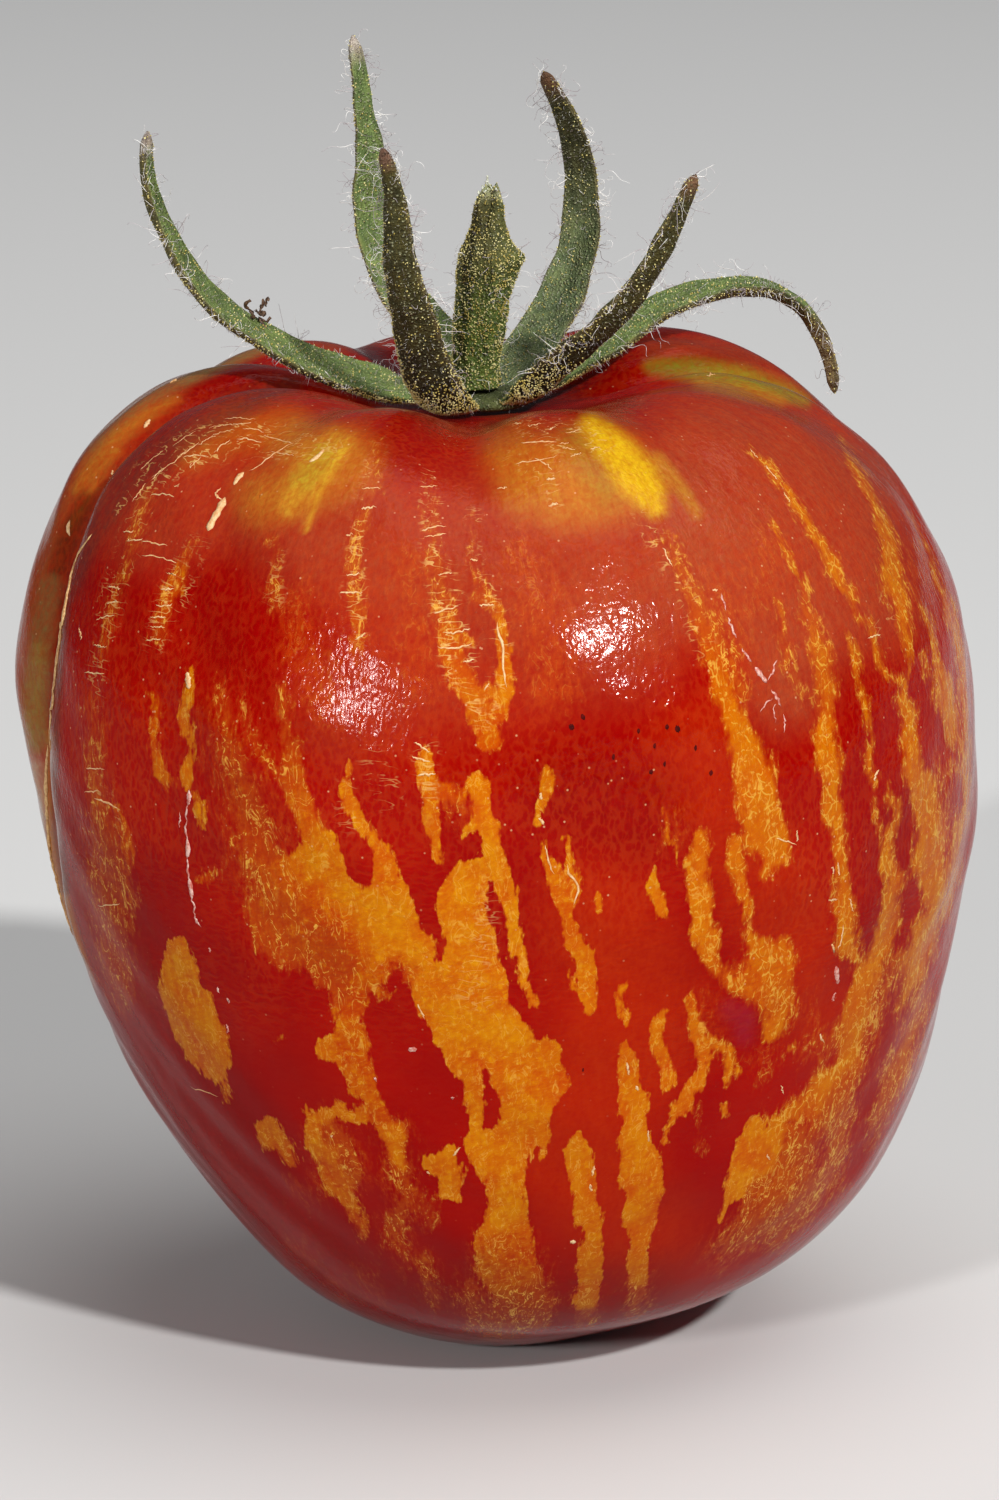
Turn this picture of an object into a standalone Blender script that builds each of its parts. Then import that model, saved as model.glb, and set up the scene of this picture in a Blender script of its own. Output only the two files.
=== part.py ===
"""A ripe striped tomato, upright on the small flat spot of its skin, with its calyx and a stub of stalk.

Three pieces: the lobed fruit, the calyx of six curled sepals grown together at their disc, and the stalk
that stands on the disc and ends in a torn knuckle.
The origin is the centre of the flat spot, +Z is up, and -Y is the side that shows best. Sizes are in mm.
"""

import math

import bmesh
import bpy
import numpy as np

MM = 0.001

# Gap that touching pieces keep
CLEARANCE = 0.3

# The fruit's rings from the flat spot over the shoulder into the hollow: height, radius to +X, radius to -X
FRUIT_RINGS = (
    (0.0, 6.0, 6.0),
    (0.45, 7.6, 7.6),
    (1.2, 9.5, 9.3),
    (4.4, 17.2, 13.9),
    (9.6, 23.3, 18.1),
    (16.5, 26.9, 22.5),
    (25.0, 29.0, 26.3),
    (34.0, 30.5, 28.4),
    (42.5, 30.4, 29.2),
    (50.0, 28.6, 27.6),
    (56.4, 24.6, 24.4),
    (60.2, 19.2, 19.6),
    (61.3, 14.6, 14.4),
    (60.5, 9.8, 9.6),
    (59.4, 6.4, 6.4),
    (59.0, 3.6, 3.6),
)
SCAR_HEIGHT = FRUIT_RINGS[-1][0]
STEM_OFFSET = (-1.3, 0.0)
FRUIT_COLUMNS = 108
FRUIT_ROWS = 36
FRUIT_COLOUR = (0.62, 0.05, 0.01)

# Furrows between the lobes, and a swelling where the depth is below 0: azimuth where it starts, where it is
# fully deep and at the stalk, depth, half width in degrees, and the shares of the way from the flat spot to
# the stalk at which it starts and is fully deep
FURROWS = (
    (184.0, 196.0, 188.0, 2.4, 6.5, 0.25, 0.60),
    (229.0, 231.0, 229.0, 0.6, 8.0, 0.35, 0.70),
    (268.0, 268.0, 268.0, 1.4, 12.0, 0.42, 0.86),
    (308.0, 308.0, 308.0, 0.4, 10.0, 0.45, 0.80),
    (352.0, 352.0, 352.0, 0.5, 9.0, 0.50, 0.85),
    (14.0, 14.0, 14.0, 1.8, 7.0, 0.50, 0.80),
    (42.0, 42.0, 42.0, -0.9, 20.0, 0.55, 0.78),
    (82.0, 80.0, 78.0, 0.8, 10.0, 0.40, 0.80),
    (118.0, 118.0, 118.0, 1.0, 10.0, 0.35, 0.80),
    (155.0, 156.0, 154.0, 1.0, 9.0, 0.40, 0.80),
)
FURROW_FADE = (0.90, 0.985)

# The calyx disc: rings of height above its foot and radius
DISC_RINGS = ((0.0, 3.0), (0.3, 3.4), (0.6, 3.2), (0.8, 2.6))
DISC_SIDES = 30
GREEN = (0.12, 0.22, 0.04)

# Each sepal: azimuth, widest width, roll in degrees at its root and tip, and its middle line as distance out
# from the stalk's axis and height above the disc's foot
SEPALS = (
    (186.0, 4.2, -24.0, -24.0, (
        (2.3, 0.4), (3.6, 0.6), (5.7, 1.0), (9.9, 2.3), (14.0, 4.6),
        (16.2, 6.3), (18.0, 8.6), (19.5, 11.7), (20.3, 14.9), (20.2, 17.2),
    )),
    (120.0, 4.3, 0.0, 0.0, (
        (2.3, 0.4), (3.6, 1.4), (6.0, 3.1), (9.7, 5.0), (12.4, 6.9),
        (13.9, 10.0), (14.2, 13.6), (14.7, 16.6), (16.0, 21.0),
    )),
    (243.0, 4.6, 0.0, 0.0, (
        (2.3, 0.4), (4.0, 0.5), (6.2, 1.7), (8.0, 4.6), (9.5, 7.6), (10.7, 11.0), (11.1, 14.0), (12.5, 17.5),
    )),
    (62.0, 4.4, 0.0, 0.0, (
        (2.3, 0.4), (3.7, 0.7), (5.8, 1.4), (8.9, 3.1), (11.9, 5.2),
        (13.9, 8.6), (14.2, 11.8), (12.8, 15.2), (8.6, 19.5),
    )),
    (325.0, 4.2, 0.0, 0.0, (
        (2.3, 0.4), (3.5, 0.9), (5.6, 2.5), (8.5, 4.8), (11.4, 7.6), (13.5, 10.7), (15.0, 13.6), (15.9, 15.6),
    )),
    (22.0, 4.0, 18.0, 10.0, (
        (2.3, 0.4), (3.6, 0.8), (5.5, 1.6), (8.6, 3.0), (12.6, 5.1),
        (16.3, 6.0), (19.4, 5.9), (22.0, 4.4), (23.6, 2.0), (24.3, -1.1),
    )),
)
SEPAL_STATIONS = 17
SEPAL_THICK = 1.2
SEPAL_END_THICK = 0.8
SEPAL_TIP_WIDTH = 0.95
SEPAL_CHANNEL = 0.15

# The stalk's rings: height above its foot, radius, and how far the ring's middle leans to +X
STALK_RINGS = (
    (0.0, 1.60, -0.20),
    (0.7, 1.46, -0.20),
    (3.6, 1.60, 0.02),
    (6.2, 1.76, 0.38),
    (7.9, 2.02, 0.66),
    (8.4, 1.80, 0.66),
    (9.1, 1.36, 0.62),
    (10.6, 0.98, 0.70),
    (11.8, 0.72, 0.84),
    (12.3, 0.38, 0.88),
)
STALK_SIDES = 20


def smooth_step(low, high, x):
    """0 below low, 1 above high, and an S-shaped rise between them."""
    t = np.clip((x - low) / (high - low), 0.0, 1.0)
    return t * t * (3.0 - 2.0 * t)


def chord_lengths(points):
    """Distance along a line of points, from its first."""
    return np.concatenate([[0.0], np.cumsum(np.linalg.norm(np.diff(points, axis=0), axis=1))])


def spline(knots, values, at):
    """Natural cubic spline through rows of values at knots, read at each number of at."""
    gap = np.diff(knots)
    matrix = np.eye(len(knots))
    wanted = np.zeros_like(values)
    for i in range(1, len(knots) - 1):
        matrix[i, i - 1 : i + 2] = gap[i - 1], 2.0 * (gap[i - 1] + gap[i]), gap[i]
        rise = (values[i + 1] - values[i]) / gap[i]
        wanted[i] = 6.0 * (rise - (values[i] - values[i - 1]) / gap[i - 1])
    bend = np.linalg.solve(matrix, wanted)
    i = np.clip(np.searchsorted(knots, at, side="right") - 1, 0, len(knots) - 2)
    width, before, after = gap[i][:, None], (at - knots[i])[:, None], (knots[i + 1] - at)[:, None]
    return (
        (bend[i] * after**3 + bend[i + 1] * before**3) / (6.0 * width)
        + (values[i] / width - bend[i] * width / 6.0) * after
        + (values[i + 1] / width - bend[i + 1] * width / 6.0) * before
    )


def fruit_surface(rows, columns):
    """The fruit's skin as a grid of points, rows from the flat spot to the stem scar.

    Each meridian runs between the +X and -X profiles, and the furrows sink it along the profile's normal."""
    rings = np.array(FRUIT_RINGS)
    knots = chord_lengths(np.column_stack([rings[:, 1:].mean(axis=1), rings[:, 0]]))
    along = np.linspace(0.0, knots[-1], rows)
    ring = spline(knots, rings, along)
    nudge = 0.01
    slope = spline(knots, rings, along + nudge) - spline(knots, rings, along - nudge)

    azimuth = np.linspace(0.0, 2.0 * math.pi, columns, endpoint=False)
    toward = 0.5 + 0.5 * np.cos(azimuth)[None, :]
    radius = ring[:, 1:2] * toward + ring[:, 2:3] * (1.0 - toward)
    out = slope[:, 1:2] * toward + slope[:, 2:3] * (1.0 - toward)
    height, up = ring[:, 0:1], slope[:, 0:1]
    length = np.hypot(out, up)

    share = (along / knots[-1])[:, None]
    sunk = np.zeros_like(radius)
    for first, flank, last, depth, width, start, full in FURROWS:
        middle = np.radians(np.interp(share, (start, full, 1.0), (first, flank, last)))
        away = np.degrees(np.angle(np.exp(1j * (azimuth[None, :] - middle))))
        sunk += depth * np.exp(-((away / width) ** 2)) * smooth_step(start, full, share)
    sunk *= 1.0 - smooth_step(*FURROW_FADE, share)
    radius = radius - sunk * up / length
    height = height + sunk * out / length

    lean = height / SCAR_HEIGHT
    x = radius * np.cos(azimuth) + STEM_OFFSET[0] * lean
    y = radius * np.sin(azimuth) + STEM_OFFSET[1] * lean
    return np.stack([x, y, height], axis=-1)


def round_rings(rings, sides, foot):
    """A grid of points round the stalk's axis, from rows of height, radius and optional lean."""
    azimuth = np.linspace(0.0, 2.0 * math.pi, sides, endpoint=False)
    grid = []
    for height, radius, *lean in rings:
        x = STEM_OFFSET[0] + sum(lean) + radius * np.cos(azimuth)
        y = STEM_OFFSET[1] + radius * np.sin(azimuth)
        grid.append(np.stack([x, y, np.full(sides, foot + height)], axis=-1))
    return np.array(grid)


def sepal_section(width, thick, trough):
    """A boat-shaped outline across a sepal, as points (sideways, towards its upper face): the upper face is
    channelled by the trough's depth, and the lower one is rounded with a keel along the middle."""
    upper = np.array([-1.0, -0.55, 0.0, 0.55, 1.0])
    lower = np.array([0.85, 0.45, 0.0, -0.45, -0.85])
    top = np.stack([upper * width / 2.0, trough * upper**2 + thick * (0.5 - 0.2 * upper**2)], axis=-1)
    under = np.stack([lower * width / 2.0, trough * lower**2 - thick * (0.5 - 0.2 * lower**2)], axis=-1)
    return np.concatenate([top, under])


def sepal_surface(azimuth, width, root_roll, tip_roll, path, foot):
    """A sepal as a grid of rings from its root in the disc to its rounded tip."""
    path = np.array(path)
    knots = chord_lengths(path)
    share = np.linspace(0.0, 1.0, SEPAL_STATIONS)
    line = spline(knots, path, share * knots[-1])
    ahead = np.gradient(line, axis=0)
    ahead /= np.linalg.norm(ahead, axis=1)[:, None]

    angle = math.radians(azimuth)
    outward = np.array([math.cos(angle), math.sin(angle), 0.0])
    sideways = np.array([-math.sin(angle), math.cos(angle), 0.0])
    upright = np.array([0.0, 0.0, 1.0])
    root_width = 0.62 * width
    widths = root_width + (width - root_width) * smooth_step(0.0, 0.12, share)
    widths = SEPAL_TIP_WIDTH + (widths - SEPAL_TIP_WIDTH) * (1.0 - share) ** 0.85
    thinned = np.maximum(share, 1.0 - smooth_step(0.0, 0.15, share))
    thicks = SEPAL_THICK + (SEPAL_END_THICK - SEPAL_THICK) * thinned
    troughs = SEPAL_CHANNEL * widths * smooth_step(0.03, 0.2, share)
    shrink = np.sqrt(np.clip((1.0 - share) / 0.03, 0.12, 1.0))
    grid = []
    for i in range(SEPAL_STATIONS):
        middle = line[i, 0] * outward + line[i, 1] * upright
        face = -ahead[i, 1] * outward + ahead[i, 0] * upright
        turn = math.radians(root_roll + (tip_roll - root_roll) * share[i]) * smooth_step(0.0, 0.2, share[i])
        across = math.cos(turn) * sideways + math.sin(turn) * face
        face = math.cos(turn) * face - math.sin(turn) * sideways
        section = sepal_section(widths[i], thicks[i], troughs[i]) * shrink[i]
        grid.append(middle + section[:, :1] * across + section[:, 1:] * face)
    return np.array(grid) + np.array([*STEM_OFFSET, foot])


def closed_grid(points):
    """Vertices and faces of a tube of rings with a flat cap at each end."""
    rows, columns = points.shape[:2]
    index = np.arange(rows * columns).reshape(rows, columns)
    right = np.roll(index, -1, axis=1)
    sides = np.stack([index[:-1], right[:-1], right[1:], index[1:]], axis=-1).reshape(-1, 4)
    return points.reshape(-1, 3), [*sides.tolist(), index[0, ::-1].tolist(), index[-1].tolist()]


def make_material(name, colour, roughness):
    material = bpy.data.materials.new(name)
    material.use_nodes = True
    finish = material.node_tree.nodes["Principled BSDF"]
    finish.inputs["Base Color"].default_value = (*colour, 1.0)
    finish.inputs["Roughness"].default_value = roughness
    finish.inputs["Metallic"].default_value = 0.0
    return material


def make_object(name, points, faces, material):
    mesh = bpy.data.meshes.new(name)
    mesh.from_pydata((points * MM).tolist(), [], faces)
    mesh.materials.append(material)
    shape = bmesh.new()
    shape.from_mesh(mesh)
    bmesh.ops.recalc_face_normals(shape, faces=shape.faces)
    shape.to_mesh(mesh)
    shape.free()
    mesh.shade_smooth()
    mesh.set_sharp_from_angle(angle=math.radians(50.0))
    made = bpy.data.objects.new(name, mesh)
    bpy.context.scene.collection.objects.link(made)
    return made


def fuse(base, grown):
    """Joins the grown pieces to the base by one union, and removes them."""
    pieces = bpy.data.collections.new("grown")
    bpy.context.scene.collection.children.link(pieces)
    for piece in grown:
        bpy.context.scene.collection.objects.unlink(piece)
        pieces.objects.link(piece)
    union = base.modifiers.new("grown_together", "BOOLEAN")
    union.operation = "UNION"
    union.operand_type = "COLLECTION"
    union.solver = "EXACT"
    union.collection = pieces
    bpy.context.view_layer.objects.active = base
    bpy.ops.object.modifier_apply(modifier=union.name)
    for piece in grown:
        bpy.data.objects.remove(piece)
    bpy.data.collections.remove(pieces)
    return base


def build_fruit():
    skin = make_material("fruit_skin", FRUIT_COLOUR, 0.35)
    return make_object("fruit", *closed_grid(fruit_surface(FRUIT_ROWS, FRUIT_COLUMNS)), skin)


def build_calyx():
    green = make_material("calyx_green", GREEN, 0.7)
    foot = SCAR_HEIGHT + CLEARANCE
    disc = make_object("calyx", *closed_grid(round_rings(DISC_RINGS, DISC_SIDES, foot)), green)
    blades = []
    for number, sepal in enumerate(SEPALS):
        blades.append(make_object(f"sepal_{number}", *closed_grid(sepal_surface(*sepal, foot)), green))
    return fuse(disc, blades)


def build_stalk():
    green = make_material("stalk_green", GREEN, 0.7)
    foot = SCAR_HEIGHT + CLEARANCE + DISC_RINGS[-1][0] + CLEARANCE
    return make_object("stalk", *closed_grid(round_rings(STALK_RINGS, STALK_SIDES, foot)), green)


def main():
    for old in list(bpy.data.objects):
        bpy.data.objects.remove(old)
    build_fruit()
    build_calyx()
    build_stalk()


main()
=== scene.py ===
import math

import bpy
import numpy as np
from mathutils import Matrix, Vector


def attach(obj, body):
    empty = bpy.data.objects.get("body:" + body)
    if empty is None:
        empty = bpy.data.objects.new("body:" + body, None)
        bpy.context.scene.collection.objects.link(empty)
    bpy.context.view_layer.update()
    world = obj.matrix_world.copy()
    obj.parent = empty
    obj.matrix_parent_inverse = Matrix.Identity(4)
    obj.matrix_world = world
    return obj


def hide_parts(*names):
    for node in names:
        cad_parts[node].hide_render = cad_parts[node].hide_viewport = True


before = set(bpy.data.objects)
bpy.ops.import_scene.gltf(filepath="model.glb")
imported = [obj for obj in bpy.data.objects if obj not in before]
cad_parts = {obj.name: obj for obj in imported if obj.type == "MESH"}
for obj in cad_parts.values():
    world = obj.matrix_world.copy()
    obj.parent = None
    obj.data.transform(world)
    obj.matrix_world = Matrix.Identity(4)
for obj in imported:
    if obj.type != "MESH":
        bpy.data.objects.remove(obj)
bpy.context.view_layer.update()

mm = 0.001

# The view: the picture's own pixels, and the camera that sees the fruit as it does, in mm and degrees
picture = {
    "width": 999,
    "height": 1500,
    "pixelsPerMm": 15.95,  # at the fruit's axis
    "distance": 380.0,
    "elevation": 14.0,
    "aim": (0.0, 0.0, 37.2),
    "sensor": 36.0,
}


def cameraPlace():
    tilt = math.radians(picture["elevation"])
    back = np.array([0.0, -math.cos(tilt), math.sin(tilt)])
    return np.array(picture["aim"]) + picture["distance"] * back, back


def toPicture(points):
    # Pinhole: a point's offsets along the picture's right and up over its depth, in pixels from the middle
    eye, back = cameraPlace()
    right = np.array([1.0, 0.0, 0.0])
    up = np.cross(back, right)
    offset = points - eye
    depth = -(offset @ back)
    focal = picture["pixelsPerMm"] * picture["distance"]
    x = picture["width"] / 2 + focal * (offset @ right) / depth
    y = picture["height"] / 2 - focal * (offset @ up) / depth
    return np.stack([x, y], axis=-1)


def smoothStep(low, high, x):
    # 0 below low, 1 above high, 3t^2 - 2t^3 between
    t = np.clip((x - low) / (high - low), 0.0, 1.0)
    return t * t * (3.0 - 2.0 * t)


def chordLengths(points):
    return np.concatenate([[0.0], np.cumsum(np.linalg.norm(np.diff(points, axis=0), axis=1))])


def spline(knots, values, at):
    # Natural cubic spline: bends solve the tridiagonal system, then two cubics per gap are summed
    gap = np.diff(knots)
    matrix = np.eye(len(knots))
    wanted = np.zeros_like(values, dtype=float)
    for i in range(1, len(knots) - 1):
        matrix[i, i - 1 : i + 2] = gap[i - 1], 2.0 * (gap[i - 1] + gap[i]), gap[i]
        rise = (values[i + 1] - values[i]) / gap[i]
        wanted[i] = 6.0 * (rise - (values[i] - values[i - 1]) / gap[i - 1])
    bend = np.linalg.solve(matrix, wanted)
    i = np.clip(np.searchsorted(knots, at, side="right") - 1, 0, len(knots) - 2)
    wide, before, after = gap[i][:, None], (at - knots[i])[:, None], (knots[i + 1] - at)[:, None]
    return (
        (bend[i] * after**3 + bend[i + 1] * before**3) / (6.0 * wide)
        + (values[i] / wide - bend[i] * wide / 6.0) * after
        + (values[i + 1] / wide - bend[i + 1] * wide / 6.0) * before
    )


def smoothPath(points, count):
    # Evenly spaced points of the spline through rows of numbers
    points = np.array(points, dtype=float)
    knots = chordLengths(points[:, :2])
    return spline(knots, points, np.linspace(0.0, knots[-1], count))


def ripple(seed, x, y, size):
    # Sum of seeded plane waves about one size long, between -1 and 1 or so
    waves = 9
    rng = np.random.default_rng(seed)
    angle, phase = rng.uniform(0, 2 * math.pi, (2, waves))
    rate = 2 * math.pi / (size * rng.uniform(0.6, 1.7, waves))
    x, y = np.broadcast_arrays(x, y)
    total = np.zeros(x.shape)
    for turn, start, step in zip(angle, phase, rate):
        total += np.sin((x * math.cos(turn) + y * math.sin(turn)) * step + start)
    return total / math.sqrt(waves)


def makePiece(name, points, faces, material, attributes=(), smooth=True):
    # Points in mm; attributes are (name, kind, values a point)
    mesh = bpy.data.meshes.new(name)
    mesh.from_pydata((points * mm).tolist(), [], faces)
    for label, kind, values in attributes:
        layer = mesh.attributes.new(label, kind, "POINT")
        key = {"FLOAT": "value", "FLOAT_VECTOR": "vector", "FLOAT_COLOR": "color"}[kind]
        layer.data.foreach_set(key, np.ascontiguousarray(values, dtype=np.float32).ravel())
    mesh.materials.append(material)
    if smooth:
        mesh.shade_smooth()
    piece = bpy.data.objects.new(name, mesh)
    bpy.context.scene.collection.objects.link(piece)
    return piece


def gridFaces(rows, columns, first=0):
    # Quads of a grid whose columns close into a ring, counter-clockwise seen from outside
    index = np.arange(rows * columns).reshape(rows, columns) + first
    right = np.roll(index, -1, axis=1)
    return np.stack([index[:-1], right[:-1], right[1:], index[1:]], axis=-1).reshape(-1, 4)


def fan(ring, centre, up):
    # Triangles from a ring of indices to one middle point
    pairs = np.stack([ring, np.roll(ring, -1), np.full(len(ring), centre)], axis=-1)
    return pairs if up else pairs[:, [1, 0, 2]]


class Wire:
    # A socket's value. Maths on it adds Math nodes, so 1 - wire * 2 reads as it is
    def __init__(self, finish, socket):
        self.finish, self.socket = finish, socket

    def math(self, operation, first, second=0.0):
        return self.finish.node("ShaderNodeMath", {"operation": operation}, {0: first, 1: second})

    def __add__(self, other):
        return self.math("ADD", self, other)

    __radd__ = __add__

    def __mul__(self, other):
        return self.math("MULTIPLY", self, other)

    __rmul__ = __mul__

    def __sub__(self, other):
        return self.math("SUBTRACT", self, other)

    def __rsub__(self, other):
        return self.math("SUBTRACT", other, self)

    def __abs__(self):
        return self.math("ABSOLUTE", self)

    def __pow__(self, power):
        return self.math("POWER", self, power)

    def least(self, other):
        return self.math("MINIMUM", self, other)

    def step(self, low, high, start=0.0, end=1.0):
        # S-shaped rise from start at low to end at high
        values = {"Value": self, "From Min": low, "From Max": high, "To Min": start, "To Max": end}
        return self.finish.node("ShaderNodeMapRange", {"interpolation_type": "SMOOTHSTEP"}, values)


class Finish:
    # One material and the nodes that feed its Principled BSDF
    def __init__(self, name, **plain):
        self.material = bpy.data.materials.new(name)
        self.material.use_nodes = True
        self.tree = self.material.node_tree
        self.shader = self.tree.nodes["Principled BSDF"]
        for socket, value in plain.items():
            self.shader.inputs[socket.replace("_", " ")].default_value = value

    def node(self, kind, settings, values, output=0):
        made = self.tree.nodes.new(kind)
        for name, value in settings.items():
            setattr(made, name, value)
        for socket, value in values.items():
            if isinstance(value, Wire):
                self.tree.links.new(value.socket, made.inputs[socket])
            else:
                made.inputs[socket].default_value = value
        return Wire(self, made.outputs[output])

    def attribute(self, name, output="Fac"):
        return self.node("ShaderNodeAttribute", {"attribute_name": name}, {}, output)

    def place(self):
        # Object coordinates, in mm
        here = self.node("ShaderNodeTexCoord", {}, {}, "Object")
        return self.stretch(here, (1 / mm, 1 / mm, 1 / mm))

    def stretch(self, vector, by):
        return self.node("ShaderNodeVectorMath", {"operation": "MULTIPLY"}, {0: vector, 1: by})

    def turn(self, vector, degrees):
        # About the Y axis
        values = {"Vector": vector, "Axis": (0.0, 1.0, 0.0), "Angle": math.radians(degrees)}
        return self.node("ShaderNodeVectorRotate", {"rotation_type": "AXIS_ANGLE"}, values)

    def shift(self, vector, by):
        return self.node("ShaderNodeVectorMath", {"operation": "ADD"}, {0: vector, 1: by})

    def noise(self, vector, size, detail=2.0, rough=0.5, warp=0.0, output="Fac"):
        values = {"Vector": vector, "Scale": 1 / size, "Detail": detail, "Roughness": rough}
        return self.node("ShaderNodeTexNoise", {}, {**values, "Distortion": warp}, output)

    def cells(self, vector, size, feature="F1"):
        values = {"Vector": vector, "Scale": 1 / size}
        return self.node("ShaderNodeTexVoronoi", {"feature": feature}, values, "Distance")

    def mix(self, factor, first, second):
        first, second = (c if isinstance(c, Wire) else (*c, 1.0) for c in (first, second))
        return self.node("ShaderNodeMix", {"data_type": "RGBA"}, {0: factor, 6: first, 7: second}, 2)

    def bump(self, height, strength, depth):
        # Depth in mm
        values = {"Height": height, "Strength": strength, "Distance": depth * mm}
        return self.node("ShaderNodeBump", {}, values, "Normal")

    def feed(self, **sockets):
        for name, wire in sockets.items():
            self.tree.links.new(wire.socket, self.shader.inputs[name.replace("_", " ")])
        return self.material


# All surface colours are multiplied by this, so that the lamps can be bright enough for a pale floor
shade = (0.72, 0.72, 0.72)

# The fruit's form, in mm: rings of height, radius to +X, radius to -X, from the flat spot to the stem scar
fruitForm = {
    "rings": (
        (0.0, 6.0, 6.0), (0.45, 7.6, 7.6), (1.2, 9.5, 9.3), (4.4, 17.2, 13.9), (9.6, 23.3, 18.1),
        (16.5, 26.9, 22.5), (25.0, 29.0, 26.3), (34.0, 30.5, 28.4), (42.5, 30.4, 29.2), (50.0, 28.6, 27.6),
        (56.4, 24.6, 24.4), (60.2, 19.2, 19.6), (61.3, 14.6, 14.4), (60.5, 9.8, 9.6), (59.4, 6.4, 6.4),
        (59.0, 3.6, 3.6),
    ),
    # Furrows: azimuth at the start, where fully deep and at the stalk, depth, half width in degrees, and the
    # shares of the way up where it starts and is fully deep
    "furrows": (
        (184.0, 196.0, 188.0, 2.4, 6.5, 0.25, 0.60), (229.0, 231.0, 229.0, 0.6, 8.0, 0.35, 0.70),
        (268.0, 268.0, 268.0, 1.4, 12.0, 0.62, 0.88), (308.0, 308.0, 308.0, 0.4, 10.0, 0.45, 0.80),
        (352.0, 352.0, 352.0, 0.5, 9.0, 0.50, 0.85), (14.0, 14.0, 14.0, 1.8, 7.0, 0.50, 0.80),
        (42.0, 42.0, 42.0, -0.9, 20.0, 0.55, 0.78), (82.0, 80.0, 78.0, 0.8, 10.0, 0.40, 0.80),
        (118.0, 118.0, 118.0, 1.0, 10.0, 0.35, 0.80), (155.0, 156.0, 154.0, 1.0, 9.0, 0.40, 0.80),
    ),
    "fade": (0.90, 0.985),
    "stemOffset": -1.3,
    "rows": 236,
    "columns": 410,
    "frontFine": 0.4,  # share by which the front's columns stand closer than the mean
    "flatRows": 6,
    "swell": 0.10,  # height of the skin's soft unevenness
    "swellSize": 9.0,
    "meanRadius": 28.0,  # turns an angle round the fruit into mm along its skin
    "meridian": 92.0,  # from the flat spot to the stem scar along the skin
}
scarHeight = fruitForm["rings"][-1][0]


def fruitSurface():
    # Each meridian runs between the +X and -X profiles by its azimuth's cosine; the furrows and the soft
    # unevenness move it along the profile's normal; the flat spot is a disc under the first row
    rings = np.array(fruitForm["rings"])
    knots = chordLengths(np.column_stack([rings[:, 1:].mean(axis=1), rings[:, 0]]))
    along = np.linspace(0.0, knots[-1], fruitForm["rows"])
    ring = spline(knots, rings, along)
    nudge = 0.01
    slope = spline(knots, rings, along + nudge) - spline(knots, rings, along - nudge)
    azimuth = np.linspace(0.0, 2.0 * math.pi, fruitForm["columns"], endpoint=False)
    azimuth = azimuth + fruitForm["frontFine"] * (1.0 - np.cos(azimuth))
    toward = 0.5 + 0.5 * np.cos(azimuth)[None, :]
    radius = ring[:, 1:2] * toward + ring[:, 2:3] * (1.0 - toward)
    out = slope[:, 1:2] * toward + slope[:, 2:3] * (1.0 - toward)
    height, up = ring[:, 0:1], slope[:, 0:1]
    length = np.hypot(out, up)

    share = (along / knots[-1])[:, None]
    sunk = np.zeros_like(radius)
    for first, flank, last, depth, width, start, full in fruitForm["furrows"]:
        middle = np.radians(np.interp(share, (start, full, 1.0), (first, flank, last)))
        away = np.degrees(np.angle(np.exp(1j * (azimuth[None, :] - middle))))
        sunk += depth * np.exp(-((away / width) ** 2)) * smoothStep(start, full, share)
    sunk *= 1.0 - smoothStep(*fruitForm["fade"], share)
    right, back = fruitForm["meanRadius"] * np.cos(azimuth), fruitForm["meanRadius"] * np.sin(azimuth)
    uneven = ripple(3, right + along[:, None], back - 0.6 * along[:, None], fruitForm["swellSize"])
    uneven = fruitForm["swell"] * uneven * smoothStep(0.12, 0.3, share)
    sunk += uneven * (1.0 - smoothStep(0.86, 0.93, share))

    radius = radius - sunk * up / length
    height = height + sunk * out / length
    lean = fruitForm["stemOffset"] * height / scarHeight
    skin = np.stack([radius * np.cos(azimuth) + lean, radius * np.sin(azimuth), height], axis=-1)
    inner = np.linspace(0.08, 0.92, fruitForm["flatRows"])[:, None, None] * skin[:1]
    below = np.zeros((fruitForm["flatRows"], 1))
    return np.concatenate([inner, skin]), np.concatenate([below, share]), azimuth


def gridNormals(points):
    # Cross product of the steps round and along the grid
    across = np.roll(points, -1, axis=1) - np.roll(points, 1, axis=1)
    ahead = np.gradient(points, axis=0)
    normal = np.cross(across, ahead)
    return normal / np.maximum(np.linalg.norm(normal, axis=-1, keepdims=True), 1e-9)


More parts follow.
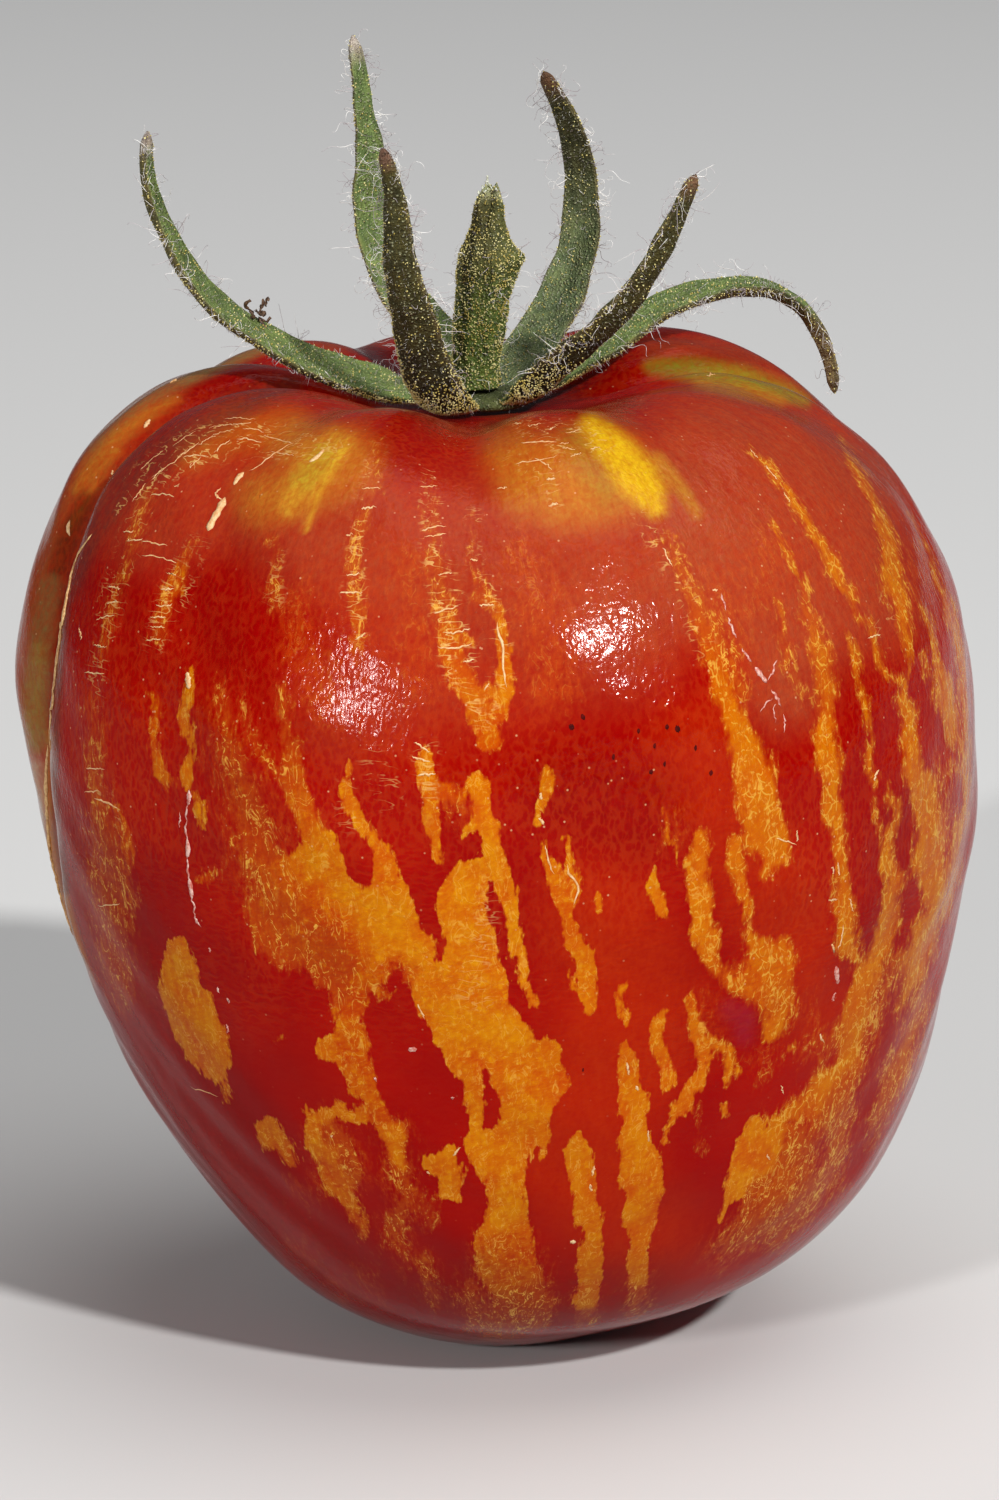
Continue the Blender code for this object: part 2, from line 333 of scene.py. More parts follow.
# The markings that show in the picture, in its pixels. The largest gold patch is an outline, and the rest
# are strokes of (x, y, half width), with a strength under 1 after them where the marking is thin
goldPatch = [
    (248, 880), (262, 871), (290, 858), (302, 838), (312, 828), (322, 826), (334, 834), (340, 850),
    (347, 870), (356, 882), (364, 889), (370, 880), (373, 852), (380, 838), (390, 845), (397, 862),
    (404, 880), (411, 898), (419, 915), (428, 932), (434, 945), (437, 958), (446, 962), (447, 950),
    (441, 935), (438, 915), (440, 893), (446, 876), (456, 863), (470, 858), (488, 856), (497, 868),
    (486, 884), (487, 905), (492, 930), (503, 965), (511, 990), (510, 1002), (525, 1022), (537, 1037),
    (548, 1033), (557, 1044), (566, 1065), (571, 1082), (562, 1094), (556, 1108), (551, 1122),
    (547, 1140), (545, 1160), (540, 1163), (537, 1142), (530, 1152), (523, 1172), (525, 1195),
    (531, 1220), (536, 1245), (537, 1268), (528, 1282), (505, 1287), (488, 1278), (480, 1260),
    (474, 1250), (470, 1240), (480, 1228), (484, 1213), (489, 1203), (486, 1185), (478, 1172),
    (468, 1158), (465, 1146), (467, 1125), (465, 1085), (452, 1068), (440, 1048), (430, 1030),
    (418, 1014), (412, 998), (409, 980), (400, 985), (392, 1000), (380, 1000), (370, 990), (364, 1000),
    (362, 1015), (364, 1035), (372, 1058), (378, 1080), (382, 1098), (392, 1112), (398, 1130),
    (405, 1150), (408, 1166), (402, 1172), (392, 1160), (384, 1142), (372, 1124), (362, 1104),
    (350, 1092), (344, 1075), (334, 1063), (318, 1056), (313, 1046), (320, 1037), (333, 1031),
    (337, 1018), (331, 1002), (322, 990), (312, 978), (303, 970), (290, 973), (275, 968), (262, 956),
    (252, 940), (246, 920), (243, 900),
]
goldStrokes = {
    "above the patch": [
        [(283, 688, 4, 0.45), (288, 735, 10, 0.5), (296, 790, 14, 0.6), (312, 832, 14, 0.8),
         (320, 850, 16)],
        [(350, 768, 5), (345, 790, 9), (355, 812, 9), (366, 830, 6), (378, 846, 8)],
        [(478, 780, 9), (481, 800, 11), (486, 822, 11), (493, 850, 11), (501, 875, 11), (506, 890, 9)],
        [(508, 900, 7), (514, 930, 8), (520, 955, 7), (523, 978, 5), (533, 1005, 4)],
        [(555, 1085, 8), (562, 1085, 8)],
        [(238, 696, 3, 0.4), (243, 715, 5, 0.4), (252, 735, 6, 0.45), (266, 757, 6, 0.5),
         (284, 785, 8, 0.55)],
    ],
    "ladder patch": [
        [(445, 605, 10, 0.6), (448, 640, 12, 0.8), (456, 668, 14, 0.8), (470, 692, 16, 0.8),
         (482, 712, 16, 0.8), (490, 740, 14, 0.9)],
        [(478, 600, 7, 0.6), (497, 606, 6, 0.8), (501, 630, 8), (504, 660, 8), (506, 692, 9),
         (500, 715, 10, 0.8)],
        [(455, 632, 8, 0.8), (475, 646, 5, 0.8)],
        [(470, 695, 12, 0.8), (490, 692, 12, 0.8)],
        [(430, 485, 7, 0.3), (433, 520, 8, 0.4), (434, 550, 8, 0.4), (440, 580, 10, 0.45),
         (444, 600, 11, 0.55)],
        [(473, 515, 3, 0.4), (471, 530, 4, 0.5), (473, 548, 4, 0.5), (472, 562, 3, 0.6),
         (478, 580, 5, 0.6), (487, 598, 7, 0.6)],
    ],
    "left of the middle": [
        [(425, 748, 5, 0.9), (427, 765, 8), (429, 785, 10), (430, 808, 9), (435, 840, 8), (438, 860, 5)],
        [(440, 786, 7, 0.8), (458, 796, 8, 0.7)],
        [(462, 820, 5), (466, 832, 7), (458, 842, 4)],
        [(376, 450, 7, 0.35), (374, 480, 8, 0.4), (366, 512, 9, 0.45), (354, 540, 8, 0.5),
         (354, 590, 8, 0.55), (358, 628, 8, 0.65), (353, 660, 5, 0.6)],
    ],
    "left flank": [
        [(190, 668, 6), (189, 692, 8), (184, 712, 8), (187, 735, 8), (192, 752, 6), (186, 770, 9),
         (188, 785, 7)],
        [(195, 792, 4), (199, 812, 5), (203, 828, 3)],
        [(151, 694, 3, 0.7), (156, 706, 6, 0.8), (152, 730, 5, 0.8), (155, 755, 6, 0.8),
         (161, 773, 7, 0.8), (168, 785, 3, 0.7)],
        [(213, 652, 2, 0.5), (217, 675, 4, 0.6), (222, 705, 4, 0.5), (230, 740, 4, 0.4)],
        [(205, 879, 6, 0.8), (212, 872, 3, 0.8)],
        [(150, 492, 5, 0.3), (137, 520, 8, 0.4), (130, 550, 8, 0.5), (123, 578, 6, 0.55)],
        [(118, 590, 4, 0.55), (110, 612, 6, 0.5), (103, 640, 4, 0.4), (99, 655, 3, 0.3)],
        [(195, 540, 6, 0.4), (184, 562, 8, 0.65), (176, 588, 8, 0.7), (164, 610, 8, 0.6),
         (158, 640, 7, 0.5)],
        [(274, 540, 5, 0.5), (276, 575, 7, 0.5), (273, 590, 8, 0.4), (275, 614, 4, 0.3)],
        [(90, 798, 3, 0.7), (106, 802, 3, 0.7), (122, 813, 5, 0.7), (128, 838, 6, 0.65),
         (130, 880, 5, 0.5), (132, 930, 3, 0.4)],
        [(178, 944, 9), (178, 965, 17), (183, 990, 22), (193, 1015, 24), (205, 1040, 25),
         (213, 1060, 19)],
        [(223, 1078, 5), (229, 1098, 4, 0.7)],
        [(268, 1124, 11, 0.9), (272, 1138, 12, 0.9), (286, 1150, 11, 0.9), (295, 1163, 5, 0.8)],
        [(303, 1108, 3), (312, 1122, 7), (314, 1142, 8), (326, 1158, 9, 0.9), (334, 1176, 13, 0.9),
         (346, 1196, 12, 0.85), (354, 1212, 9, 0.8), (363, 1233, 7, 0.7)],
        [(318, 1120, 6), (336, 1108, 6), (352, 1114, 7), (372, 1114, 9)],
        [(278, 1038, 3, 0.7), (283, 1038, 2, 0.7)],
    ],
    "thin streak": [
        [(546, 772, 5), (545, 788, 9), (544, 800, 6), (541, 822, 3)],
        [(543, 845, 4), (547, 862, 6), (558, 882, 11), (564, 905, 10), (567, 920, 7), (574, 938, 9),
         (583, 957, 10), (589, 980, 10), (589, 1000, 8), (589, 1013, 5)],
        [(567, 838, 4), (570, 862, 5), (575, 885, 5), (573, 905, 5)],
        [(566, 976, 5), (575, 986, 5)],
    ],
    "lower middle": [
        [(424, 1162, 6), (438, 1166, 11), (449, 1152, 9), (454, 1170, 9), (448, 1188, 11),
         (457, 1196, 5)],
        [(580, 1138, 8), (577, 1152, 13), (582, 1172, 14), (583, 1190, 13), (589, 1213, 12),
         (593, 1235, 12), (590, 1256, 13), (590, 1280, 14), (587, 1296, 14)],
        [(625, 1049, 8), (628, 1070, 11), (632, 1092, 14), (633, 1115, 15), (634, 1140, 17),
         (640, 1164, 21), (643, 1185, 23), (642, 1203, 19), (640, 1225, 15), (638, 1250, 11),
         (637, 1278, 10)],
        [(624, 984, 4), (618, 994, 5), (622, 1007, 5), (625, 1022, 4)],
        [(665, 1012, 4), (657, 1028, 8), (658, 1046, 8), (665, 1062, 8), (668, 1076, 8), (666, 1088, 5)],
        [(690, 998, 5), (694, 1020, 8), (699, 1042, 10), (706, 1056, 9), (703, 1070, 6), (695, 1085, 8),
         (687, 1096, 11), (677, 1111, 6), (671, 1124, 4)],
        [(712, 1042, 7), (728, 1050, 7), (731, 1072, 7), (727, 1084, 4)],
        [(727, 1104, 4), (725, 1114, 4)],
        [(664, 1130, 2), (665, 1146, 2)],
    ],
    "right flank": [
        [(655, 868, 3), (652, 885, 7), (660, 902, 9), (662, 912, 8)],
        [(597, 897, 7), (600, 915, 3)],
        [(702, 836, 8), (698, 862, 11), (698, 892, 13), (703, 922, 12), (706, 948, 13), (716, 966, 10),
         (732, 982, 12), (752, 985, 18), (772, 985, 24), (779, 1006, 18), (774, 1026, 13),
         (770, 1038, 7)],
        [(750, 930, 6), (754, 945, 12), (764, 962, 22), (775, 975, 22)],
        [(785, 945, 9), (786, 962, 12)],
        [(727, 702, 12), (735, 722, 13), (745, 745, 18), (752, 765, 22), (756, 790, 22), (761, 815, 22),
         (768, 838, 23), (774, 853, 18), (766, 872, 7)],
        [(735, 842, 9), (735, 868, 9), (744, 892, 7), (748, 914, 5)],
        [(829, 712, 10), (824, 735, 11)],
        [(822, 735, 11), (829, 757, 13), (831, 777, 11), (831, 797, 9), (834, 817, 10), (838, 842, 9),
         (841, 862, 9), (842, 885, 10), (844, 905, 12), (846, 925, 13), (846, 945, 13), (853, 958, 8)],
        [(845, 633, 3), (855, 655, 4), (858, 680, 3), (863, 695, 4), (868, 715, 5), (870, 737, 4),
         (867, 753, 5), (872, 772, 5), (872, 787, 3)],
        [(888, 785, 3), (894, 802, 5), (896, 820, 4), (888, 838, 6), (888, 860, 8), (895, 882, 9)],
        [(874, 802, 2), (879, 832, 3), (884, 856, 5)],
        [(903, 698, 8), (910, 722, 9), (909, 745, 11), (914, 768, 14), (923, 792, 15), (928, 820, 14),
         (931, 845, 16), (930, 865, 20), (936, 888, 13), (935, 912, 12), (925, 932, 13), (920, 952, 15),
         (916, 972, 12), (908, 992, 6), (902, 1008, 4)],
        [(898, 878, 9), (890, 902, 10), (888, 922, 12), (883, 942, 13), (870, 968, 12), (860, 990, 12),
         (855, 1012, 14), (848, 1036, 13), (848, 1058, 8), (834, 1072, 8), (818, 1086, 9)],
        [(818, 1086, 9, 0.9), (806, 1100, 9, 0.8), (790, 1114, 8, 0.8), (778, 1124, 9, 0.9)],
        [(755, 1124, 9), (752, 1144, 16), (744, 1162, 15), (738, 1180, 11), (728, 1200, 7),
         (720, 1217, 4)],
        [(768, 1140, 14), (758, 1160, 16)],
        [(790, 1048, 6), (798, 1046, 3)],
        [(720, 970, 6, 0.9), (733, 967, 8, 0.8), (747, 962, 8, 0.8)],
    ],
    "right shoulder": [
        [(747, 445, 2), (760, 460, 4), (772, 472, 5), (786, 490, 6), (799, 510, 7), (812, 530, 7),
         (826, 552, 7), (836, 571, 8), (845, 590, 7), (856, 607, 5), (866, 625, 4), (877, 648, 5),
         (881, 666, 5), (888, 678, 4), (903, 680, 3)],
        [(773, 527, 4), (779, 537, 5), (788, 556, 5), (796, 571, 5), (804, 583, 3), (812, 592, 2)],
        [(776, 600, 4, 0.7), (782, 625, 6, 0.7), (788, 660, 5, 0.6), (802, 690, 4, 0.5),
         (818, 715, 4, 0.5)],
        [(800, 585, 4, 0.6), (807, 610, 8, 0.7), (818, 642, 12, 0.8), (825, 680, 12, 0.8),
         (829, 712, 10, 0.8)],
        [(666, 535, 5, 0.5), (684, 572, 8, 0.6), (698, 610, 11, 0.65), (712, 650, 12, 0.75),
         (727, 702, 13, 0.9)],
        [(692, 590, 10, 0.5), (706, 615, 12, 0.5), (728, 655, 11, 0.55), (740, 695, 8, 0.6)],
        [(840, 440, 2), (852, 460, 4), (864, 482, 5), (875, 505, 5), (883, 525, 6), (889, 545, 9),
         (890, 565, 13), (894, 585, 12), (900, 605, 10), (905, 625, 8), (908, 642, 6), (909, 660, 4),
         (906, 680, 4), (905, 698, 6)],
        [(908, 512, 1), (918, 530, 2), (926, 550, 3), (935, 570, 4), (943, 590, 6), (950, 612, 7),
         (957, 640, 7), (962, 670, 6), (966, 710, 6), (966, 760, 5), (966, 800, 6), (958, 840, 6),
         (952, 880, 7), (944, 920, 5)],
        [(924, 610, 3), (931, 632, 5), (938, 660, 7), (943, 682, 11), (948, 704, 12), (952, 724, 8),
         (957, 745, 5), (961, 768, 3)],
        [(923, 655, 2), (928, 680, 2), (934, 702, 3)],
        [(656, 541, 3), (672, 539, 3)],
        [(662, 806, 2), (667, 826, 3), (672, 842, 3), (675, 862, 2)],
    ],
}

# Red islands inside the gold
redStrokes = [
    [(485, 1074, 4), (490, 1095, 5), (494, 1115, 6), (490, 1127, 4)],
    [(345, 845, 7), (355, 865, 10), (365, 882, 4)],
    [(470, 612, 8), (478, 614, 5)],
    [(480, 634, 6), (486, 664, 9), (482, 676, 7)],
    [(390, 985, 8), (398, 970, 4)],
    [(462, 818, 8), (455, 830, 8), (460, 846, 6)],
    [(492, 905, 5), (500, 930, 7), (507, 955, 6), (514, 985, 4)],
    [(715, 1064, 6), (717, 1070, 5)],
    [(822, 1142, 4), (820, 1154, 5), (817, 1166, 3)],
    [(794, 1072, 8), (806, 1062, 9), (818, 1052, 3)],
    [(897, 985, 3), (886, 1024, 4), (874, 1066, 5), (866, 1100, 5), (860, 1140, 5), (852, 1175, 8)],
    [(440, 945, 7), (440, 958, 5)],
]

# Thin, fibrous gold with the red shining through it
thinStrokes = [
    [(790, 1140, 22, 0.55), (780, 1175, 27, 0.6), (765, 1205, 25, 0.5), (745, 1235, 17, 0.4),
     (722, 1252, 10, 0.3)],
    [(812, 1110, 18, 0.7), (830, 1085, 13, 0.7)],
    [(856, 1030, 12, 0.75), (848, 1066, 17, 0.66), (836, 1104, 22, 0.6), (826, 1140, 24, 0.55),
     (812, 1176, 24, 0.5), (796, 1206, 22, 0.45), (772, 1234, 16, 0.38)],
    [(900, 962, 14, 0.62), (886, 1000, 12, 0.6), (872, 1024, 8, 0.55)],
    [(926, 985, 6, 0.6), (915, 1020, 11, 0.65), (903, 1056, 14, 0.65), (891, 1088, 14, 0.6),
     (880, 1116, 10, 0.5), (868, 1138, 5, 0.4)],
    [(820, 1045, 12, 0.5), (838, 1040, 8, 0.5)],
    [(822, 1030, 5, 0.7), (821, 1065, 5, 0.6)],
    [(90, 700, 6, 0.25), (95, 745, 8, 0.38), (95, 790, 9, 0.42), (104, 830, 18, 0.32),
     (106, 880, 20, 0.32), (112, 930, 18, 0.32), (118, 975, 16, 0.3), (126, 1002, 9, 0.25)],
    [(505, 1262, 30, 0.75), (518, 1285, 30, 0.6), (530, 1306, 25, 0.45), (500, 1322, 26, 0.35)],
    [(470, 1290, 13, 0.4), (475, 1318, 12, 0.3)],
    [(588, 1298, 14, 0.65), (585, 1318, 9, 0.45)],
    [(637, 1280, 11, 0.65), (640, 1296, 10, 0.5), (632, 1312, 8, 0.35)],
    [(330, 1132, 15, 0.5), (345, 1155, 15, 0.5), (352, 1178, 11, 0.5)],
    [(392, 1130, 13, 0.5), (398, 1165, 12, 0.42), (405, 1195, 10, 0.38), (398, 1218, 14, 0.42),
     (394, 1242, 9, 0.35), (408, 1258, 6, 0.3)],
    [(424, 1262, 7, 0.4), (430, 1284, 7, 0.4), (436, 1300, 4, 0.35)],
    [(222, 700, 8, 0.30), (235, 760, 12, 0.35), (250, 815, 20, 0.38), (258, 858, 24, 0.45),
     (285, 888, 24, 0.6)],
    [(430, 1220, 9, 0.3), (418, 1195, 10, 0.3)],
    [(445, 790, 14, 0.5), (455, 812, 8, 0.45)],
    [(944, 770, 7, 0.5), (944, 810, 8, 0.5), (942, 850, 6, 0.5)],
    [(880, 975, 12, 0.6), (872, 1010, 10, 0.5), (866, 1045, 7, 0.45)],
    [(668, 812, 7, 0.35), (670, 842, 5, 0.35)],
    [(700, 1105, 2, 0.4), (701, 1150, 2, 0.3)],
    [(757, 1085, 3, 0.3), (775, 1060, 6, 0.35)],
    [(870, 1140, 8, 0.3), (846, 1160, 8, 0.25), (838, 1200, 6, 0.2)],
]

# Where the skin has cracked into fine pale lines that lie level: x, y, half width and strength
crackStrokes = [
    [(120, 505, 8, 0.8), (150, 475, 14, 1.0), (185, 452, 17, 1.0), (230, 438, 18, 1.0),
     (290, 442, 14, 0.9), (335, 450, 10, 0.6)],
    [(136, 520, 9, 0.8), (126, 560, 9, 0.8), (112, 600, 10, 0.8), (100, 650, 9, 0.6), (92, 700, 7, 0.5)],
    [(196, 545, 8, 0.7), (180, 580, 12, 0.9), (166, 615, 12, 0.9), (156, 642, 8, 0.7)],
    [(376, 450, 6, 0.6), (366, 510, 8, 0.9), (354, 570, 9, 0.9), (356, 630, 8, 0.8)],
    [(430, 480, 9, 0.9), (434, 540, 10, 1.0), (446, 600, 14, 1.0), (458, 660, 16, 1.0),
     (484, 710, 14, 0.8)],
    [(473, 515, 4, 0.8), (476, 570, 6, 0.9), (495, 610, 8, 1.0), (505, 680, 8, 0.9)],
    [(520, 425, 8, 0.7), (560, 435, 14, 1.0), (600, 445, 12, 0.8)],
    [(515, 460, 8, 0.7), (545, 470, 12, 0.8), (560, 500, 8, 0.6)],
    [(640, 520, 8, 0.7), (665, 548, 9, 0.9), (690, 600, 8, 0.9), (705, 650, 8, 0.8)],
    [(345, 790, 8, 0.8), (350, 820, 8, 0.6)],
    [(425, 750, 9, 0.9), (428, 790, 10, 0.7)],
    [(395, 800, 12, 0.5), (375, 760, 12, 0.5)],
    [(90, 790, 8, 0.6), (115, 812, 8, 0.7)],
    [(490, 900, 8, 0.5), (480, 960, 12, 0.5), (455, 975, 10, 0.6), (480, 1000, 12, 0.5)],
    [(275, 550, 6, 0.6), (275, 600, 6, 0.6)],
    [(880, 640, 10, 0.4), (890, 600, 8, 0.5)],
]

# Where a stronger marking fades: how much, the soft edge and the stroke
fades = [
    (0.45, 40, [(250, 900, 26), (285, 935, 26), (325, 965, 20)]),
    (0.25, 14, [(350, 1010, 14), (356, 1060, 14), (380, 1110, 12)]),
    (0.30, 14, [(505, 1262, 24), (512, 1290, 24)]),
    (0.20, 16, [(735, 975, 20), (765, 985, 20)]),
    (0.30, 12, [(400, 975, 12), (380, 990, 10)]),
]

# Faint orange stretches between the gold and the red
dullStrokes = [
    [(250, 790, 14), (258, 830, 26), (255, 868, 24), (290, 900, 36)],
    [(215, 700, 10), (225, 760, 18), (245, 815, 24)],
    [(90, 700, 7), (95, 745, 9), (95, 790, 9), (104, 830, 20), (106, 880, 22), (112, 930, 20),
     (118, 975, 18), (126, 1002, 10)],
    [(330, 1132, 16), (345, 1155, 16), (352, 1178, 12)],
    [(392, 1130, 14), (398, 1165, 12), (405, 1195, 10), (398, 1218, 15), (394, 1242, 9), (408, 1258, 6)],
    [(424, 1262, 7), (430, 1284, 7), (436, 1300, 4)],
    [(285, 1243, 3), (300, 1248, 6), (310, 1258, 4)],
    [(300, 1190, 4), (312, 1186, 5), (316, 1198, 3)],
    [(336, 1282, 4), (342, 1296, 3)],
    [(365, 1280, 6), (373, 1292, 6), (380, 1305, 4)],
    [(505, 1255, 30), (518, 1285, 30), (530, 1306, 26), (500, 1322, 28)],
    [(470, 1290, 14), (475, 1318, 14)],
    [(588, 1300, 14), (585, 1316, 10)],
    [(637, 1280, 11), (640, 1296, 11), (632, 1310, 8)],
    [(790, 1140, 24), (780, 1175, 28), (765, 1205, 26), (745, 1235, 20), (720, 1255, 12)],
    [(812, 1110, 20), (830, 1085, 14)],
    [(850, 1060, 16), (836, 1104, 22), (824, 1150, 26), (806, 1186, 28), (776, 1228, 18)],
    [(790, 1210, 14), (800, 1180, 16)],
    [(925, 1020, 4), (913, 1040, 8), (904, 1062, 10), (893, 1084, 10), (885, 1105, 8), (874, 1124, 5)],
    [(888, 990, 5), (872, 1020, 8), (866, 1050, 6)],
    [(862, 965, 10), (872, 985, 8)],
    [(712, 590, 12), (722, 620, 18), (730, 655, 16)],
    [(944, 770, 8), (944, 810, 9), (942, 850, 7)],
    [(445, 790, 14), (455, 812, 8)],
    [(668, 812, 8), (670, 840, 6)],
    [(705, 1005, 12), (712, 1030, 10)],
    [(820, 1045, 14), (838, 1040, 8)],
    [(800, 1010, 6), (806, 1016, 4)],
    [(770, 1046, 8), (758, 1060, 4)],
    [(295, 600, 12), (300, 650, 20), (330, 700, 24)],
    [(410, 560, 12), (415, 620, 10), (418, 680, 12)],
    [(540, 600, 26), (560, 690, 20)],
    [(520, 560, 22), (530, 580, 18)],
    [(900, 1010, 6), (905, 1030, 6)],
    [(770, 540, 14), (760, 600, 12)],
    [(910, 560, 12), (920, 600, 8)],
]

# Soft colour under the stripes, with painted sheen, painted light and painted shade among it: colour, amount,
# soft edge and stroke, in pixels
paleYellow, lemon = (0.66, 0.42, 0.03), (0.72, 0.46, 0.01)
ochre, olive = (0.55, 0.24, 0.02), (0.28, 0.23, 0.02)
tanBrown, greyTan, cream = (0.34, 0.085, 0.018), (0.25, 0.13, 0.04), (0.52, 0.38, 0.22)
# The first of these, the dark mauve, is painted shade for the left lobe's crease
creaseShade, oliveTan, goldTan = (0.15, 0.030, 0.019), (0.29, 0.19, 0.055), (0.50, 0.20, 0.018)
deepBrown, oliveGold = (0.13, 0.02, 0.005), (0.34, 0.19, 0.035)
# Among these, deep red is painted shade, orange-red is painted light and salmon is a painted sheen
deepRed, litOrangeRed, paintedSheen = (0.22, 0.0012, 0.0008), (0.44, 0.027, 0.001), (0.385, 0.082, 0.030)
mauveRed = (0.33, 0.016, 0.036)
softTintsAndLight = [
    # Painted light: a warmer orange-red where the lamps fall fullest on the middle
    (litOrangeRed, 0.55, 60, [(600, 930, 40), (640, 1010, 50), (570, 1150, 40), (640, 1240, 40)]),
    (litOrangeRed, 0.50, 50, [(700, 760, 30), (770, 900, 30), (820, 1020, 20)]),
    # Painted sheen: the pale haze that the lamps' broad reflection lays over the upper half
    (paintedSheen, 0.55, 70, [(330, 520, 50), (400, 560, 50), (520, 560, 50), (640, 560, 60)]),
    (paintedSheen, 0.30, 60, [(350, 700, 30), (620, 640, 40)]),
    (paintedSheen, 0.65, 50, [(720, 560, 40), (785, 630, 40), (785, 690, 20)]),
    (paintedSheen, 0.60, 60, [(720, 470, 60), (830, 500, 60), (870, 600, 30)]),
    (paintedSheen, 0.35, 40, [(150, 520, 40), (210, 500, 40)]),
    # Painted shade: deeper red low down, along the left crease, in the groove before the calyx and below the
    # right highlight
    (deepRed, 0.7, 60, [(60, 860, 30), (150, 1050, 40), (250, 1230, 40), (380, 1320, 30), (640, 1310, 20)]),
    (deepRed, 0.6, 30, [(245, 382, 12), (180, 400, 14), (110, 470, 10)]),
    (deepRed, 0.45, 30, [(400, 440, 22), (420, 420, 16)]),
    (deepRed, 0.6, 50, [(560, 790, 26), (640, 810, 30)]),
    (deepRed, 0.55, 30, [(560, 402, 18), (610, 405, 16)]),
    (mauveRed, 0.5, 14, [(730, 1010, 5), (742, 1018, 8), (744, 1036, 4)]),
    (ochre, 0.55, 34, [(300, 452, 16), (345, 462, 20), (300, 485, 16), (262, 500, 12)]),
    (olive, 0.65, 14, [(322, 458, 7), (304, 480, 6)]),
    (paleYellow, 0.45, 20, [(336, 444, 6), (318, 464, 9), (300, 488, 6), (290, 508, 1)]),
    (paleYellow, 0.5, 5, [(345, 446, 1), (330, 470, 2), (316, 500, 2), (306, 530, 1)]),
    (ochre, 0.35, 26, [(190, 452, 6), (235, 430, 12), (290, 430, 12)]),
    (ochre, 0.60, 40, [(515, 455, 12), (540, 470, 20), (580, 470, 26), (600, 460, 22)]),
    (ochre, 0.45, 30, [(520, 495, 10), (560, 505, 14), (620, 500, 12)]),
    (olive, 0.32, 20, [(575, 440, 6), (595, 470, 10), (605, 495, 6)]),
    (lemon, 0.92, 16, [(592, 426, 5), (606, 440, 8), (622, 458, 12), (636, 476, 15), (648, 492, 11),
                       (656, 506, 4)]),
    (paleYellow, 0.35, 9, [(658, 458, 3), (670, 475, 4), (684, 493, 3), (697, 513, 2)]),
    (olive, 0.9, 12, [(652, 366, 3), (690, 369, 7), (740, 377, 8), (785, 391, 5), (804, 399, 2)]),
    # Painted sheen: light caught on the top rim on either side of the calyx
    (paintedSheen, 0.45, 12, [(650, 346, 5), (710, 346, 6), (760, 360, 5), (815, 392, 6), (860, 424, 6)]),
    (paintedSheen, 0.55, 12, [(306, 352, 8), (340, 338, 10), (378, 334, 8)]),
    (ochre, 0.4, 9, [(700, 384, 3), (740, 392, 4), (780, 401, 3)]),
    # Painted shade in the crease of the left lobe
    (creaseShade, 0.6, 14, [(290, 384, 6), (230, 408, 10), (178, 439, 12), (128, 482, 12), (92, 530, 8),
                          (70, 590, 4)]),
    (oliveTan, 0.85, 9, [(262, 344, 6), (215, 362, 7), (175, 381, 6), (140, 401, 5), (112, 424, 5),
                         (88, 456, 3)]),
    (tanBrown, 0.7, 7, [(88, 456, 4), (64, 500, 4), (44, 550, 5), (30, 600, 5), (22, 650, 5),
                        (19, 700, 5), (18, 770, 4)]),
    (tanBrown, 0.5, 18, [(170, 392, 8), (125, 428, 12), (92, 470, 12), (66, 520, 10), (48, 570, 8)]),
    (goldTan, 0.55, 8, [(176, 399, 1), (149, 413, 3), (115, 438, 5), (92, 463, 5), (78, 490, 2)]),
    (goldTan, 0.5, 5, [(120, 450, 1), (100, 474, 2), (84, 500, 2), (72, 530, 1)]),
    (deepBrown, 0.7, 10, [(84, 500, 6), (66, 545, 6), (52, 590, 5)]),
    (greyTan, 0.85, 9, [(50, 585, 8), (42, 640, 9), (38, 690, 9), (36, 740, 8)]),
    (oliveGold, 0.65, 9, [(38, 650, 5), (33, 700, 8), (34, 745, 7)]),
    (cream, 0.70, 14, [(34, 768, 4), (38, 796, 5), (42, 828, 3)]),
    (goldTan, 0.80, 7, [(51, 735, 1), (48, 790, 1), (51, 830, 2), (58, 880, 3), (70, 930, 4),
                        (88, 985, 3)]),
    (deepBrown, 0.7, 5, [(66, 600, 3), (59, 660, 3), (56, 710, 3), (54, 770, 3), (56, 830, 3),
                         (66, 890, 3)]),
]

